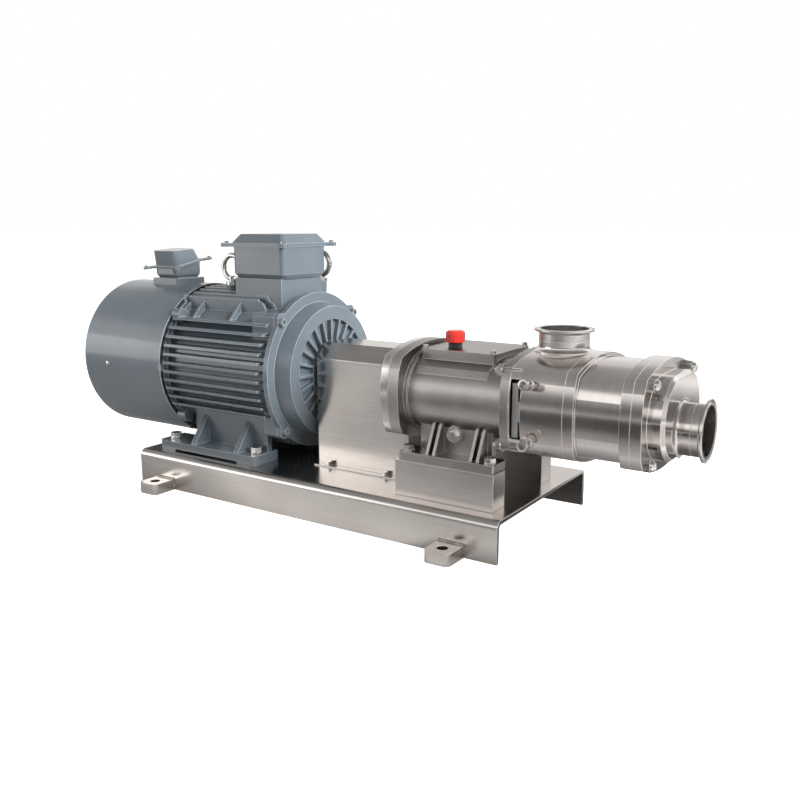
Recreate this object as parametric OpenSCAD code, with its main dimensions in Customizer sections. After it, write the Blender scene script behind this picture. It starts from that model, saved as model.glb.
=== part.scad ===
// Twin screw pump with its electric motor on a bent sheet base.
// Millimetres. Origin on the floor between the four fixing holes, +X along the
// shafts towards the suction port, +Z up. The drive shaft lies above Y = 0.

/* [Base] */
// Length of the base channel
base_l = 768; // [740:1:800]
// Width of the base channel
base_w = 336; // [330:1:350]
// Height of the base channel
base_h = 66; // [50:1:80]
// Sheet thickness of the base
base_t = 6; // [4:0.5:8]
// Outer radius of the base bends
base_bend = 12; // [9:0.5:16]
// Distance of the fixing holes along the base
lug_pitch_x = 624; // [600:1:640]
// Distance of a fixing hole from the side of the base
lug_out = 26; // [22:1:34]
// Length of a fixing lug along the base
lug_w = 44.5; // [40:0.5:56]
// Reach of a fixing lug beyond its hole centre
lug_edge = 20.6; // [16:0.1:24]
// Thickness of a fixing lug
lug_t = 20; // [12:0.5:25]
// Diameter of a fixing hole
lug_hole_d = 18; // [14:0.5:22]

/* [Motor] */
// Height of the shaft above the motor feet
motor_h = 160; // [160:0.5:170]
// Radius over the tips of the cooling fins
fin_tip_r = 147; // [143:0.5:150]
// Outer radius of the frame barrel
barrel_r = 128; // [126:0.5:131]
// Inner radius of the frame barrel
bore_r = 121; // [118:0.5:123]
// Length of the motor frame
frame_l = 251; // [236:1:262]
// Distance between cooling fins
fin_pitch = 16.2; // [14:0.1:17]
// Thickness of a cooling fin
fin_t = 4.6; // [3.5:0.1:6]
// Number of cooling fins on a side
fin_n = 11; // [9:2:11]
// Length of the drive end shield in front of its ring
shield_l = 32; // [28:0.5:36]
// Radius of the front face of the drive end shield
shield_r = 119; // [114:0.5:121]
// Length of the fan cowl
cowl_l = 231; // [210:1:240]
// Outer radius of the fan cowl
cowl_r = 149.2; // [148.2:0.1:152]
// Sheet thickness of the fan cowl
cowl_t = 2; // [1.5:0.1:3]
// Length of a motor foot
foot_l = 245; // [235:1:250]
// Distance of the motor bolts along the shaft
foot_b = 210; // [200:1:214]
// Distance of the motor bolts across the shaft
foot_a = 224; // [216:1:232]
// Width over the motor feet
foot_w = 280; // [270:1:290]
// Thickness of a motor foot
foot_t = 17; // [12:0.5:20]
// Diameter of the motor shaft in its bearings
motor_shaft_d = 45; // [40:0.5:48]
// Width of the terminal box
box_w = 122.5; // [110:0.5:130]
// Height of the underside of the terminal box above the shaft
box_z = 167; // [162:0.5:172]
// Height of the terminal box below its lid
box_h = 56.5; // [45:0.5:65]
// Height of the terminal box lid
lid_h = 23; // [16:0.5:28]
// Width of the small terminal box on the cowl
aux_w = 62; // [54:0.5:70]
// Number of blades of the cooling fan
fan_n = 7; // [5:1:9]

/* [Coupling and guard] */
// Radius of the coupling hubs
hub_r = 48; // [42:0.5:50]
// Length of a coupling hub
hub_l = 62; // [50:0.5:66]
// Length of the elastic part between the hubs
spider_l = 21; // [18:0.5:24]
// Half the width of the guard
guard_hw = 58; // [55:0.5:62]
// Sheet thickness of the guard
guard_t = 2; // [1.5:0.1:3]
// Width of the guard's foot flange
guard_foot = 14; // [12:0.5:18]
// Size of the bend between side and top of the guard
guard_cut = 25.5; // [18:0.5:28]

/* [Bearing housing] */
// Distance between the two pump shafts
shaft_gap = 58; // [57:0.1:60]
// Diameter of the pump shafts
shaft_d = 30; // [28:0.5:31]
// Half width of the flanges at their corners
sec_w = 100.3; // [99:0.1:104]
// Half height of the flanges at their corners
sec_h = 60.3; // [59:0.1:64]
// Bulge of the flange sides
sec_side = 10.5; // [9:0.1:12]
// Bulge of the flange tops
sec_top = 18.8; // [17:0.1:21]
// Thickness of the gear cover
gear_cover_t = 13.5; // [12:0.1:16]
// Thickness of the housing's front flange
housing_flange_t = 19; // [16:0.1:22]
// Length of the housing between its flanges
housing_l = 176; // [170:1:185]
// Thickness of the housing's rear flange
housing_rear_t = 13.6; // [12:0.1:16]
// Radius of the housing around each shaft
housing_r = 62; // [60:0.5:64]
// Length of the housing's feet
pump_foot_l = 169; // [165:0.5:172]
// Thickness of the housing's feet
pump_foot_t = 13.5; // [10:0.5:16]
// Height of the support blocks
block_h = 58; // [50:0.5:62]
// Width of a support block
block_w = 38; // [34:0.5:42]
// Length of a support block
block_l = 175; // [172:0.5:180]
// Length of the lid on the housing
top_lid_l = 131; // [120:0.5:136]
// Half the width of the lid on the housing
top_lid_hw = 61.4; // [56:0.1:64]
// Thickness of the lid on the housing
top_lid_t = 8; // [6:0.5:10]
// Diameter of the filler cap
cap_d = 31; // [24:0.5:36]
// Number of teeth of a timing gear
gear_teeth = 29; // [25:2:33]
// Face width of a timing gear
gear_face = 22; // [18:0.5:23]

/* [Pumping section] */
// Length of the seal and discharge chamber
chamber_l = 84.1; // [80:0.1:90]
// Thickness of the casing's rear flange
ring_t = 15.8; // [14:0.1:18]
// Length of the rotor casing between its flanges
casing_l = 65.5; // [60:0.5:75]
// Thickness of the casing's front flange
casing_flange_t = 15; // [12:0.1:18]
// Thickness of the front cover's flange
cover_t = 16; // [14:0.1:18]
// Height of the raised cap of the front cover
cap_h = 23.4; // [20:0.1:28]
// Radius of the raised cap around each shaft
cap_r = 60.8; // [58:0.1:62]
// Outer radius of the screws
screw_r = 39.8; // [39:0.1:40.2]
// Running gap between a screw and the casing
screw_gap = 0.35; // [0.25:0.05:0.6]
// Gap between the tip of one screw and the root of the other
root_gap = 0.5; // [0.4:0.05:0.8]
// Gap between the flanks of the screws, as an angle in degrees
flank_gap = 1.5; // [1.2:0.1:2.5]
// Advance of the thread in one turn
screw_lead = 76; // [70:1:90]
// Number of threads on a screw
screw_starts = 2; // [2]
// Diameter of the shaft end inside a screw
screw_bore_d = 24; // [20:0.5:26]

/* [Ports] */
// Outer diameter of the port tubes
tube_od = 76.2; // [70:0.1:77]
// Inner diameter of the port tubes
tube_id = 72.9; // [66:0.1:73.5]
// Diameter of the clamp ferrules
ferrule_d = 91; // [88:0.1:94]
// Drop of the suction port below the shafts
suction_drop = 18.3; // [16:0.1:20]
// Length of the suction port beyond the cover
suction_l = 37; // [32:0.5:50]
// Height of the discharge face above the shafts
discharge_h = 111.6; // [108:0.1:125]
// Width of the openings beside the seals
window_w = 17.4; // [14:0.1:18]
// Height of the openings beside the seals
window_h = 88; // [70:0.5:92]

/* [Hidden] */
$fn = 96;
// Running clearance between shafts and rings
run = 0.05;
// Heights and the pump's centre plane
axis_z = base_h + motor_h;
mid_y = -shaft_gap / 2;
base_x = 5;
lug_pitch_y = base_w + 2 * lug_out;
// Stations along the motor, counted back from the end shield's face
face_x = -38;
ring_x = face_x - shield_l;
ring_l = 10;
frame_x1 = ring_x - ring_l;
frame_x0 = frame_x1 - frame_l;
cowl_x1 = frame_x0 - 3;
cowl_x0 = cowl_x1 - cowl_l;
ring_r = 142.7;
lug_y = 103;
lug_z = 97;
foot_x1 = frame_x1 - 31;
foot_x0 = foot_x1 - foot_l;
foot_mid = foot_x1 - 18 - foot_b / 2;
brg_r = 50;
box_x1 = frame_x1 - 17;
box_x0 = box_x1 - box_w;
box_mid = (box_x0 + box_x1) / 2;
brg_l = 25;
core_r = 77;
core_x0 = frame_x0 + 45;
core_x1 = frame_x1 - 35;
coil_l = 24;
// Stations along the pump, counted from the gear cover's outer face
pump_x = 164.5;
flange_x = pump_x + gear_cover_t;
body_x = flange_x + housing_flange_t;
rear_x = body_x + housing_l;
chamber_x = rear_x + housing_rear_t;
casing_x = chamber_x + chamber_l;
casing_body_x = casing_x + ring_t;
front_x = casing_body_x + casing_l;
cover_x = front_x + casing_flange_t;
cap_x = cover_x + cover_t;
nose_x = cap_x + cap_h;
suction_x = nose_x + suction_l;
discharge_x = chamber_x + 37.4;
// Coupling
hub_x = 0;
hub_x1 = hub_x + hub_l;
hub_x2 = hub_x1 + spider_l + 2;
hub_x3 = hub_x2 + hub_l;
hub_bore = 21;
claw_n = 3;
// Inside the housing
gear_x = flange_x + 3;
gear_m = shaft_gap / gear_teeth;
gear_room = gear_face + 14;
bearing_r = shaft_gap / 2 - 1.5;
bearing_w = 13;
front_brg_x = flange_x + gear_room + 2;
rear_brg_x = rear_x - 2 * bearing_w - 7;
lip_x = rear_x;
lip_r = 23.5;
foot_z = base_h + block_h;
top_z = axis_z + 64.4;
foot_in = 58;
foot_out = 102;
block_mid = 87;
pump_bolt_dx = 145.2;
pump_bolt_y = 88.6;
foot_x_mid = body_x + pump_foot_l / 2 - 5;
top_lid_x = body_x + 11.6;
nut_y = 88;
nut_z = 55;
stud_y = 93;
stud_z = 56.5;
// Seals and screws
seal_r = 25;
seal_x = chamber_x + 13.4;
seal_l = 12;
product_x = chamber_x + 25.4;
screw_x = casing_x + 2.8;
screw_l = cover_x - screw_x + 2.5;
root_r = shaft_gap - screw_r - root_gap;
bore_screw_r = screw_r + screw_gap;
twist_deg = 360 * screw_l / screw_lead;
window_x = chamber_x + 2;
window_deep = 62;
tube_r = tube_od / 2;
pipe_r = tube_id / 2;
ferrule_l = 17;

// General shapes

// Cylinder along X
module xcyl(r, x0, x1, y = 0, z = 0)
    translate([x0, y, z]) rotate([0, 90, 0]) cylinder(r = r, h = x1 - x0);

// Cylinder along Z
module zcyl(r, z0, z1, x = 0, y = 0)
    translate([x, y, z0]) cylinder(r = r, h = z1 - z0);

// Tube along X
module xtube(r, ri, x0, x1, y = 0, z = 0)
    difference() {
        xcyl(r, x0, x1, y, z);
        xcyl(ri, x0 - 1, x1 + 1, y, z);
    }

// Block between two corners
module block(x0, x1, y0, y1, z0, z1)
    translate([x0, y0, z0]) cube([x1 - x0, y1 - y0, z1 - z0]);

// A drawing in the Y, Z plane made thick along X
module xplate(x0, x1)
    translate([x0, 0, 0]) rotate([90, 0, 90]) linear_extrude(x1 - x0) children();

// A half profile turned about an axis along X that starts at x
module xturn(x, y = 0, z = 0)
    translate([x, y, z]) rotate([0, 90, 0]) rotate_extrude() children();

// Rectangle with round corners
module rrect(w, h, r) {
    square([w - 2 * r, h], center = true);
    square([w, h - 2 * r], center = true);
    for (a = [-1, 1], b = [-1, 1])
        translate([a * (w / 2 - r), b * (h / 2 - r)]) circle(r);
}

// Hexagon across flats
module hex2d(af) circle(r = af / sqrt(3), $fn = 6);

// Hexagon head screw standing on z
module hex_screw(d, af, h, sink = 0) {
    linear_extrude(h) hex2d(af);
    if (sink > 0) translate([0, 0, -sink]) cylinder(r = d / 2, h = sink);
}

// Outline of the pump's flanges: four arcs with trimmed corners
module flange2d(grow = 0, trim = 3) {
    w = sec_w + grow;
    h = sec_h + grow;
    rs = (h * h + sec_side * sec_side) / (2 * sec_side);
    rt = (w * w + sec_top * sec_top) / (2 * sec_top);
    intersection() {
        translate([w + sec_side - rs, 0]) circle(rs, $fn = 180);
        translate([rs - w - sec_side, 0]) circle(rs, $fn = 180);
        translate([0, h + sec_top - rt]) circle(rt, $fn = 180);
        translate([0, rt - h - sec_top]) circle(rt, $fn = 180);
        circle(norm([w, h]) - trim, $fn = 180);
    }
}

// Flange slab on the pump's centre line
module flange_slab(x0, x1, grow = 0, trim = 3)
    translate([0, mid_y, axis_z]) xplate(x0, x1) flange2d(grow, trim);

// Slot shape around both shafts
module stadium2d(r) {
    for (s = [-1, 1]) translate([s * shaft_gap / 2, 0]) circle(r);
    square([shaft_gap, 2 * r], center = true);
}

module stadium_slab(x0, x1, r)
    translate([0, mid_y, axis_z]) xplate(x0, x1) stadium2d(r);

// Child placed on each pump shaft, or on one of them
module on_drive() translate([0, 0, axis_z]) children();
module on_driven() translate([0, -shaft_gap, axis_z]) children();
module on_both() {
    on_drive() children();
    on_driven() children();
}

// Child copied to both sides of the pump's centre plane
module both_sides() {
    translate([0, mid_y, 0]) children();
    translate([0, mid_y, 0]) mirror([0, 1, 0]) children();
}

// Base

module channel2d(w, h, r) {
    translate([-w / 2, 0]) square([w, h - r]);
    translate([r - w / 2, 0]) square([w - 2 * r, h]);
    for (s = [-1, 1]) translate([s * (w / 2 - r), h - r]) circle(r);
}

module base_channel() color("#a9a39a")
    xplate(base_x - base_l / 2, base_x + base_l / 2) difference() {
        channel2d(base_w, base_h, base_bend);
        translate([0, -1]) channel2d(base_w - 2 * base_t, base_h + 1 - base_t, base_bend - base_t);
    }

module base_foot_lugs() color("#b5afa6") {
    reach = lug_pitch_y / 2 + lug_edge;
    r = 9;
    for (sx = [-1, 1], sy = [0, 1]) mirror([0, sy, 0])
        translate([sx * lug_pitch_x / 2, 0, 0]) linear_extrude(lug_t) difference() {
            union() {
                translate([-lug_w / 2, base_w / 2]) square([lug_w, reach - r - base_w / 2]);
                translate([r - lug_w / 2, base_w / 2]) square([lug_w - 2 * r, reach - base_w / 2]);
                for (s = [-1, 1]) translate([s * (lug_w / 2 - r), reach - r]) circle(r);
            }
            translate([0, lug_pitch_y / 2]) circle(lug_hole_d / 2);
        }
}

module support_blocks() color("#a5a09a") both_sides()
    difference() {
        block(foot_x_mid - block_l / 2, foot_x_mid + block_l / 2, -block_mid - block_w / 2,
            block_w / 2 - block_mid, base_h, foot_z);
        for (s = [-1, 1]) translate([foot_x_mid + s * pump_bolt_dx / 2, -pump_bolt_y, foot_z - 22])
            cylinder(r = 5, h = 23);
    }

// Motor

// Round ears that carry the end shield screws
module ears2d(r, inner) difference() {
    for (a = [-1, 1], b = [-1, 1]) {
        translate([a * lug_y, b * lug_z]) circle(r);
        rotate(atan2(b * lug_z, a * lug_y)) translate([inner - 4, 0.5 - r])
            square([norm([lug_y, lug_z]) - inner + 4, 2 * r - 1]);
    }
    circle(inner);
}

// Square corner pads of the front flange
module pads2d(inner) difference() {
    for (a = [-1, 1], b = [-1, 1]) scale([a, b]) difference() {
        translate([62, 62]) square([lug_y - 54.5, lug_z - 47.5]);
        translate([lug_y + 1.5, lug_z + 8.5]) polygon([[6.1, 0], [6.1, 6.1], [0, 6.1]]);
    }
    circle(inner);
}

module side_fins2d() for (i = [0:fin_n - 1])
    translate([-fin_tip_r, ((fin_n - 1) / 2 - i) * fin_pitch + fin_pitch * 0.62 - fin_t / 2])
        square([2 * fin_tip_r, fin_t]);

// Longitudinal fins above or below the barrel
module upright_fins2d(n, pitch) for (i = [0:n - 1])
    translate([(i - (n - 1) / 2) * pitch - fin_t / 2, 0]) square([fin_t, fin_tip_r]);

top_fin_z = ((fin_n - 1) / 2 + 0.62) * fin_pitch;
cheek_y = 70;

// Seats of the lifting eyes: X, Y and height above the shaft
eyes = [[box_x0 - 31, -30, fin_tip_r + 4], [box_x1 - 23, cheek_y + 2, fin_tip_r + 10]];

module motor_frame() color("#7d8b95") translate([0, 0, axis_z]) {
    difference() {
        union() {
            xcyl(barrel_r, frame_x0, frame_x1);
            xcyl(fin_tip_r - 9, frame_x0, frame_x0 + 8);
            // side fins
            xplate(frame_x0 + 4, frame_x1 - 12) difference() {
                intersection() {
                    side_fins2d();
                    circle(fin_tip_r);
                    difference() {
                        circle(fin_tip_r + 1);
                        translate([-60, 60]) square([120, 100]);
                    }
                }
                circle(barrel_r - 2);
            }
            // upright fins in front of the terminal box
            xplate(frame_x0 + 4, box_x0 - 2) difference() {
                intersection() {
                    upright_fins2d(9, 14);
                    circle(fin_tip_r);
                }
                circle(barrel_r - 2);
            }
            // upright fins underneath
            xplate(frame_x0 + 10, frame_x1 - 20) mirror([0, 1]) difference() {
                intersection() {
                    upright_fins2d(9, 14);
                    circle(fin_tip_r - 2);
                }
                circle(barrel_r - 2);
            }
            // outer and inner cheeks beside the terminal box
            for (s = [-1, 1], c = [[cheek_y, frame_x1 - 51], [cheek_y - 11.7, frame_x1 - 35]]) intersection() {
                translate([0, s * c[0] + fin_t / 2, 0]) rotate([90, 0, 0]) linear_extrude(fin_t)
                    polygon([[frame_x0 + 4, top_fin_z - 8], [frame_x0 + 4, fin_tip_r], [c[1] - 30, fin_tip_r],
                        [c[1] - 18, fin_tip_r - 19.5], [c[1] - 8, fin_tip_r - 23], [c[1], fin_tip_r - 37],
                        [c[1], top_fin_z - 8]]);
                xcyl(fin_tip_r + 1, frame_x0, frame_x1);
            }
            // gussets on the upper fin
            for (s = [-1, 1], x = [frame_x0 + 40, frame_x0 + 134])
                translate([x, 0, top_fin_z]) rotate([90, 0, 90]) linear_extrude(5)
                    polygon([[s * cheek_y, 0], [s * 104, 0], [s * cheek_y, 34]]);
            // ears for the screws of both shields
            xplate(frame_x1 - 50, frame_x1) intersection() {
                pads2d(barrel_r - 4);
                translate([-200, 0]) square([400, 200]);
            }
            xplate(frame_x1 - 30, frame_x1) pads2d(barrel_r - 4);
            xplate(frame_x0, frame_x0 + 20) ears2d(12, barrel_r - 4);
            for (p = eyes) difference() {
                translate([p[0], p[1], 90]) cylinder(r = 12, h = p[2] - 90);
                xcyl(barrel_r - 2, frame_x0, frame_x1);
            }
            // seat of the terminal box
            block(box_x0 + 2, box_x1 - 9, 4 - box_w / 2, box_w / 2 - 4, barrel_r - 30, box_z);
        }
        xcyl(bore_r, frame_x0 - 1, frame_x1 + 1);
        block(box_x0 + 10, box_x1 - 17, 12 - box_w / 2, box_w / 2 - 12, barrel_r - 40, box_z + 1);
        for (a = [-1, 1], b = [-1, 1]) {
            xcyl(4.2, frame_x1 - 22, frame_x1 + 1, a * lug_y, b * lug_z);
            xcyl(4.2, frame_x0 - 1, frame_x0 + 18, a * lug_y, b * lug_z);
        }
    }
}

module motor_feet() color("#74828c") for (s = [0, 1]) mirror([0, s, 0]) {
    y1 = foot_w / 2;
    y0 = y1 - 64;
    z1 = base_h + foot_t;
    web_x0 = frame_x0 + 34;
    web_x1 = frame_x1 - 36;
    difference() {
        union() {
            block(foot_x0, foot_x1, y0, y1, base_h, z1);
            difference() {
                union() {
                    block(web_x0, web_x1, 86, 97, base_h + 4, axis_z);
                    for (x = [web_x0 + 22, web_x1 - 50]) translate([x, 0, base_h + foot_t])
                        rotate([90, 0, 90]) linear_extrude(12)
                            polygon([[92, -1], [y1 - 4, -1], [y1 - 6, 3], [97, 52], [92, 52]]);
                }
                xcyl(barrel_r, frame_x0 - 60, frame_x1 + 60, 0, axis_z);
                block(frame_x0 - 60, frame_x1 + 60, 60, 150, axis_z - 78, axis_z + 10);
            }
        }
        // recess between the pads
        block(foot_x0 + 42, foot_x1 - 42, y0 - 1, y1 + 1, base_h - 1, base_h + 3);
        for (d = [-1, 1]) zcyl(7.2, base_h - 1, z1 + 1, foot_mid + d * foot_b / 2, foot_a / 2);
        // round outer corners
        for (x = [foot_x0, foot_x1]) translate([x, y1, base_h - 1]) difference() {
            translate([-10, -10, 0]) cube([20, 20, foot_t + 2]);
            translate([x == foot_x0 ? 10 : -10, -10, -1]) cylinder(r = 10, h = foot_t + 4);
            translate([x == foot_x0 ? 10 : -20, -20, -1]) cube([10, 30, foot_t + 4]);
            translate([-20, -20, -1]) cube([40, 10, foot_t + 4]);
        }
    }
}

module motor_foot_bolts() color("#b9bcbc")
    for (d = [-1, 1], s = [-1, 1])
        translate([foot_mid + d * foot_b / 2, s * foot_a / 2, base_h + foot_t]) {
            cylinder(r = 12, h = 2.5);
            translate([0, 0, 2.5]) linear_extrude(8) hex2d(19);
            translate([0, 0, -foot_t]) cylinder(r = 6, h = foot_t);
        }

module drive_end_shield() color("#8b98a1") translate([0, 0, axis_z]) difference() {
    union() {
        xcyl(ring_r, frame_x1, ring_x);
        xplate(frame_x1, ring_x) pads2d(ring_r - 20);
        translate([ring_x, 0, 0]) rotate([0, 90, 0])
            cylinder(r1 = shield_r + 6, r2 = shield_r, h = shield_l);
        xcyl(bore_r - 0.2, frame_x1 - 6, frame_x1);
        xcyl(brg_r + 10, frame_x1 - 4, ring_x);
    }
    // ribbed ring in the face
    difference() {
        xcyl(shield_r - 24, face_x - 10, face_x + 1);
        xcyl(56, face_x - 11, face_x + 2);
        for (i = [0:23]) rotate([i * 15, 0, 0])
            block(face_x - 11, face_x + 2, 50, shield_r - 20, -2.2, 2.2);
    }
    // hollow behind the face
    difference() {
        xcyl(bore_r - 10, frame_x1 - 7, face_x - 16);
        xcyl(brg_r + 10, frame_x1 - 8, face_x);
    }
    xcyl(brg_r, frame_x1 - 8, frame_x1 - 8 + brg_l + 6);
    xcyl(motor_shaft_d / 2 + 0.5, frame_x1, face_x + 1);
    for (a = [-1, 1], b = [-1, 1])
        xcyl(5.2, frame_x1 - 1, ring_x + 1, a * lug_y, b * lug_z);
}

cowl_screw_at = [30, 90, 150, 210, 270, 330];
cowl_screw_x = cowl_x1 - 4;

module rear_end_shield() color("#7d8b95") translate([0, 0, axis_z]) difference() {
    union() {
        for (a = cowl_screw_at) rotate([a, 0, 0])
            block(frame_x0 - 11, cowl_x1, -7, 7, fin_tip_r - 12, cowl_r - cowl_t - 0.4);
        xcyl(fin_tip_r - 6, frame_x0 - 11, frame_x0);
        xcyl(bore_r - 0.2, frame_x0, frame_x0 + 6);
        xcyl(brg_r + 10, frame_x0 - 24, frame_x0);
    }
    for (a = cowl_screw_at) rotate([a, 0, 0])
        translate([cowl_screw_x, 0, fin_tip_r - 14]) cylinder(r = 2.5, h = 30);
    xcyl(brg_r, frame_x0 - 16, frame_x0 + 8);
    xcyl(motor_shaft_d / 2 + 0.5, frame_x0 - 40, frame_x0);
    difference() {
        xcyl(bore_r - 10, frame_x0 - 5, frame_x0 + 7);
        xcyl(brg_r + 10, frame_x0 - 6, frame_x0 + 8);
    }
    for (a = [-1, 1], b = [-1, 1]) xcyl(5.2, frame_x0 - 12, frame_x0 + 1, a * lug_y, b * lug_z);
}

module motor_screws() color("#9aa2a6") translate([0, 0, axis_z]) {
    for (a = [-1, 1], b = [-1, 1]) {
        translate([ring_x, a * lug_y, b * lug_z]) rotate([0, 90, 0]) difference() {
            cylinder(r = 7, h = 8);
            translate([0, 0, 4]) linear_extrude(5) hex2d(7);
        }
        xcyl(4, frame_x1 - 20, ring_x, a * lug_y, b * lug_z);
        translate([frame_x0 - 11, a * lug_y, b * lug_z]) rotate([0, -90, 0]) cylinder(r = 5, h = 6);
        xcyl(4, frame_x0 - 11, frame_x0 + 16, a * lug_y, b * lug_z);
    }
    // screws of the cowl
    for (a = cowl_screw_at) rotate([a, 0, 0]) translate([cowl_screw_x, 0, 0]) {
        translate([0, 0, fin_tip_r - 14]) cylinder(r = 2.5, h = cowl_r + 14 - fin_tip_r);
        translate([0, 0, cowl_r]) cylinder(r = 5, h = 2.6);
    }
}

module stator_core() color("#6a6e72") translate([0, 0, axis_z]) difference() {
    xcyl(bore_r, core_x0, core_x1);
    xcyl(core_r + 0.8, core_x0 - 1, core_x1 + 1);
}

module stator_windings() color("#a8642f") translate([0, 0, axis_z])
    for (x = [core_x0 - coil_l, core_x1]) translate([x, 0, 0]) rotate([0, 90, 0])
        rotate_extrude() translate([core_r + 8, 0]) {
            square([bore_r - core_r - 18, coil_l]);
        }

module motor_shaft() color("#b4b8ba") translate([0, 0, axis_z]) {
    xcyl(motor_shaft_d / 2, frame_x0 - 30, face_x + 16);
    difference() {
        xcyl(hub_bore, face_x + 16, hub_x1);
        block(hub_x + 4, hub_x1 + 1, -6, 6, hub_bore - 5, hub_bore + 1);
    }
    block(hub_x + 4, hub_x1 - 4, -6, 6, hub_bore - 5, hub_bore + 3);
}

module rotor_core() color("#75797d") translate([0, 0, axis_z]) {
    xtube(core_r, motor_shaft_d / 2, core_x0, core_x1);
    for (x = [core_x0 - 12, core_x1]) xtube(core_r - 4, core_r - 20, x, x + 12);
}

module motor_bearing_outers() color("#c3c6c8") translate([0, 0, axis_z])
    for (x = [frame_x0 - 16, frame_x1 - 2]) {
        xtube(brg_r, brg_r - 9, x, x + brg_l);
        for (d = [1, brg_l - 3]) xtube(brg_r - 9, motor_shaft_d / 2 + 9, x + d, x + d + 2);
    }

module motor_bearing_inners() color("#cfd2d4") translate([0, 0, axis_z])
    for (x = [frame_x0 - 16, frame_x1 - 2])
        xtube(motor_shaft_d / 2 + 9 - 0.4, motor_shaft_d / 2, x, x + brg_l);

module fan_cowl() color("#7f8d96") translate([0, 0, axis_z]) {
    in_r = cowl_r - cowl_t;
    b = 14;
    difference() {
        union() {
            xcyl(cowl_r, cowl_x0 + b, cowl_x1);
            translate([cowl_x0, 0, 0]) rotate([0, 90, 0])
                cylinder(r1 = cowl_r - b * 0.75, r2 = cowl_r, h = b);
        }
        xcyl(in_r, cowl_x0 + b, cowl_x1 + 1);
        translate([cowl_x0 + cowl_t, 0, 0]) rotate([0, 90, 0])
            cylinder(r1 = in_r - b * 0.75, r2 = in_r, h = b - cowl_t + 0.01);
        xcyl(118, cowl_x0 - 1, cowl_x0 + b);
        for (a = cowl_screw_at) rotate([a, 0, 0])
            translate([cowl_screw_x, 0, cowl_r - 10]) cylinder(r = 2.6, h = 20);
    }
}

module cowl_grille() color("#6d787f") translate([0, 0, axis_z]) {
    x = cowl_x0 + cowl_t;
    for (r = [34:12:118]) translate([x + 2, 0, 0]) rotate([0, 90, 0])
        rotate_extrude() translate([r, 0]) circle(1.6, $fn = 24);
    for (i = [0:5]) rotate([i * 60, 0, 0]) block(x, x + 3, 20, 122, -2, 2);
    xcyl(26, x, x + 3);
    xtube(127, 118, x, x + 3);
}

fan_x = cowl_x0 + 26;
fan_motor_x = fan_x + 44;

module fan_motor() color("#68757e") translate([0, 0, axis_z]) {
    xcyl(46, fan_motor_x, fan_motor_x + 62);
    xcyl(8 - run, fan_x + 20.5, fan_motor_x + 1);
    // plate arms that carry the small motor in the cowl
    for (i = [0:3]) rotate([45 + i * 90, 0, 0])
        block(fan_motor_x + 20, fan_motor_x + 50, 44, cowl_r - cowl_t - 0.2, -2, 2);
}

module cooling_fan() color("#4b555c") translate([0, 0, axis_z]) {
    difference() {
        xcyl(30, fan_x, fan_x + 34);
        xcyl(24, fan_x + 4, fan_x + 35);
    }
    difference() {
        xcyl(12, fan_x + 3.9, fan_x + 34);
        xcyl(8, fan_x + 20, fan_x + 35);
    }
    for (i = [0:fan_n - 1]) rotate([i * 360 / fan_n, 0, 0]) intersection() {
        translate([fan_x + 17, 0, 28]) rotate([0, 0, 38])
            translate([-2, -26, 0]) cube([4, 52, 90]);
        xtube(112, 28, fan_x + 1, fan_x + 33);
    }
}

module terminal_box() color("#818f99") translate([box_mid, 0, axis_z + box_z]) difference() {
    union() {
        hull() {
            translate([0, 0, 8]) linear_extrude(box_h - 8) rrect(box_w, box_w, 9);
            linear_extrude(1) rrect(box_w - 12, box_w - 12, 9);
        }
        // blanked cable entries on the far side
        for (s = [-1, 1]) translate([s * 28, box_w / 2 - 2, box_h / 2]) rotate([-90, 0, 0])
            linear_extrude(6) hex2d(32);
    }
    translate([0, 0, 5]) linear_extrude(box_h) rrect(box_w - 10, box_w - 10, 5);
    translate([0, 0, -1]) linear_extrude(10) square([60, 60], center = true);

}

// Lid with a flat rim, a sloped roof and screw lugs at its corners
module sloped_lid(w, rim, h, top, screw_at, tip, lug_r) difference() {
    union() {
        hull() {
            linear_extrude(rim, $fn = 48) rrect(w, w, 9);
            translate([0, 0, h - 0.5]) linear_extrude(0.5, $fn = 48) rrect(top, top, 6);
        }
        for (a = [0:3]) rotate(a * 90 + 45) {
            translate([tip - lug_r, 0, 0]) cylinder(r = lug_r, h = rim);
            translate([tip - lug_r - 16, -lug_r, 0]) cube([16, 2 * lug_r, rim]);
        }
    }
    for (a = [0:3]) rotate(a * 90 + 45) {
        translate([screw_at, 0, -1]) cylinder(r = 2.1, h = h);
        translate([screw_at, 0, rim]) cylinder(r = 5, h = h);
    }
}

lid_z = axis_z + box_z + box_h;
// Place of the lid screws and reach of the lid's ears, from the middle
box_lug = box_w * 0.707 + 10;

module terminal_box_lid() color("#8d9aa4") translate([box_mid, 0, lid_z])
    sloped_lid(box_w + 5, 7, lid_h, box_w - 20, box_lug, box_lug + 9.5, 6);

module terminal_lid_screws() color("#8a949b") {
    for (a = [0:3]) translate([box_mid, 0, lid_z]) rotate(a * 90 + 45)
        translate([box_lug, 0, 7]) {
            cylinder(r = 4, h = 3.5);
            translate([0, 0, -7]) cylinder(r = 2, h = 7);
        }
    for (a = [0:3]) aux_place() translate([0, 0, aux_h]) rotate([aux_tilt, 0, 0])
        rotate(a * 90 + 45) translate([aux_lug, 0, 4]) cylinder(r = 3, h = 3);
}

aux_x = cowl_x0 + 134;
aux_h = 36;
aux_tilt = 11.5;
aux_lug = aux_w * 0.707 + 19.4;
aux_lug_r = 5.5;
aux_top = 35;

module aux_place() translate([aux_x, 0, axis_z + cowl_r - 1]) children();

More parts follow.
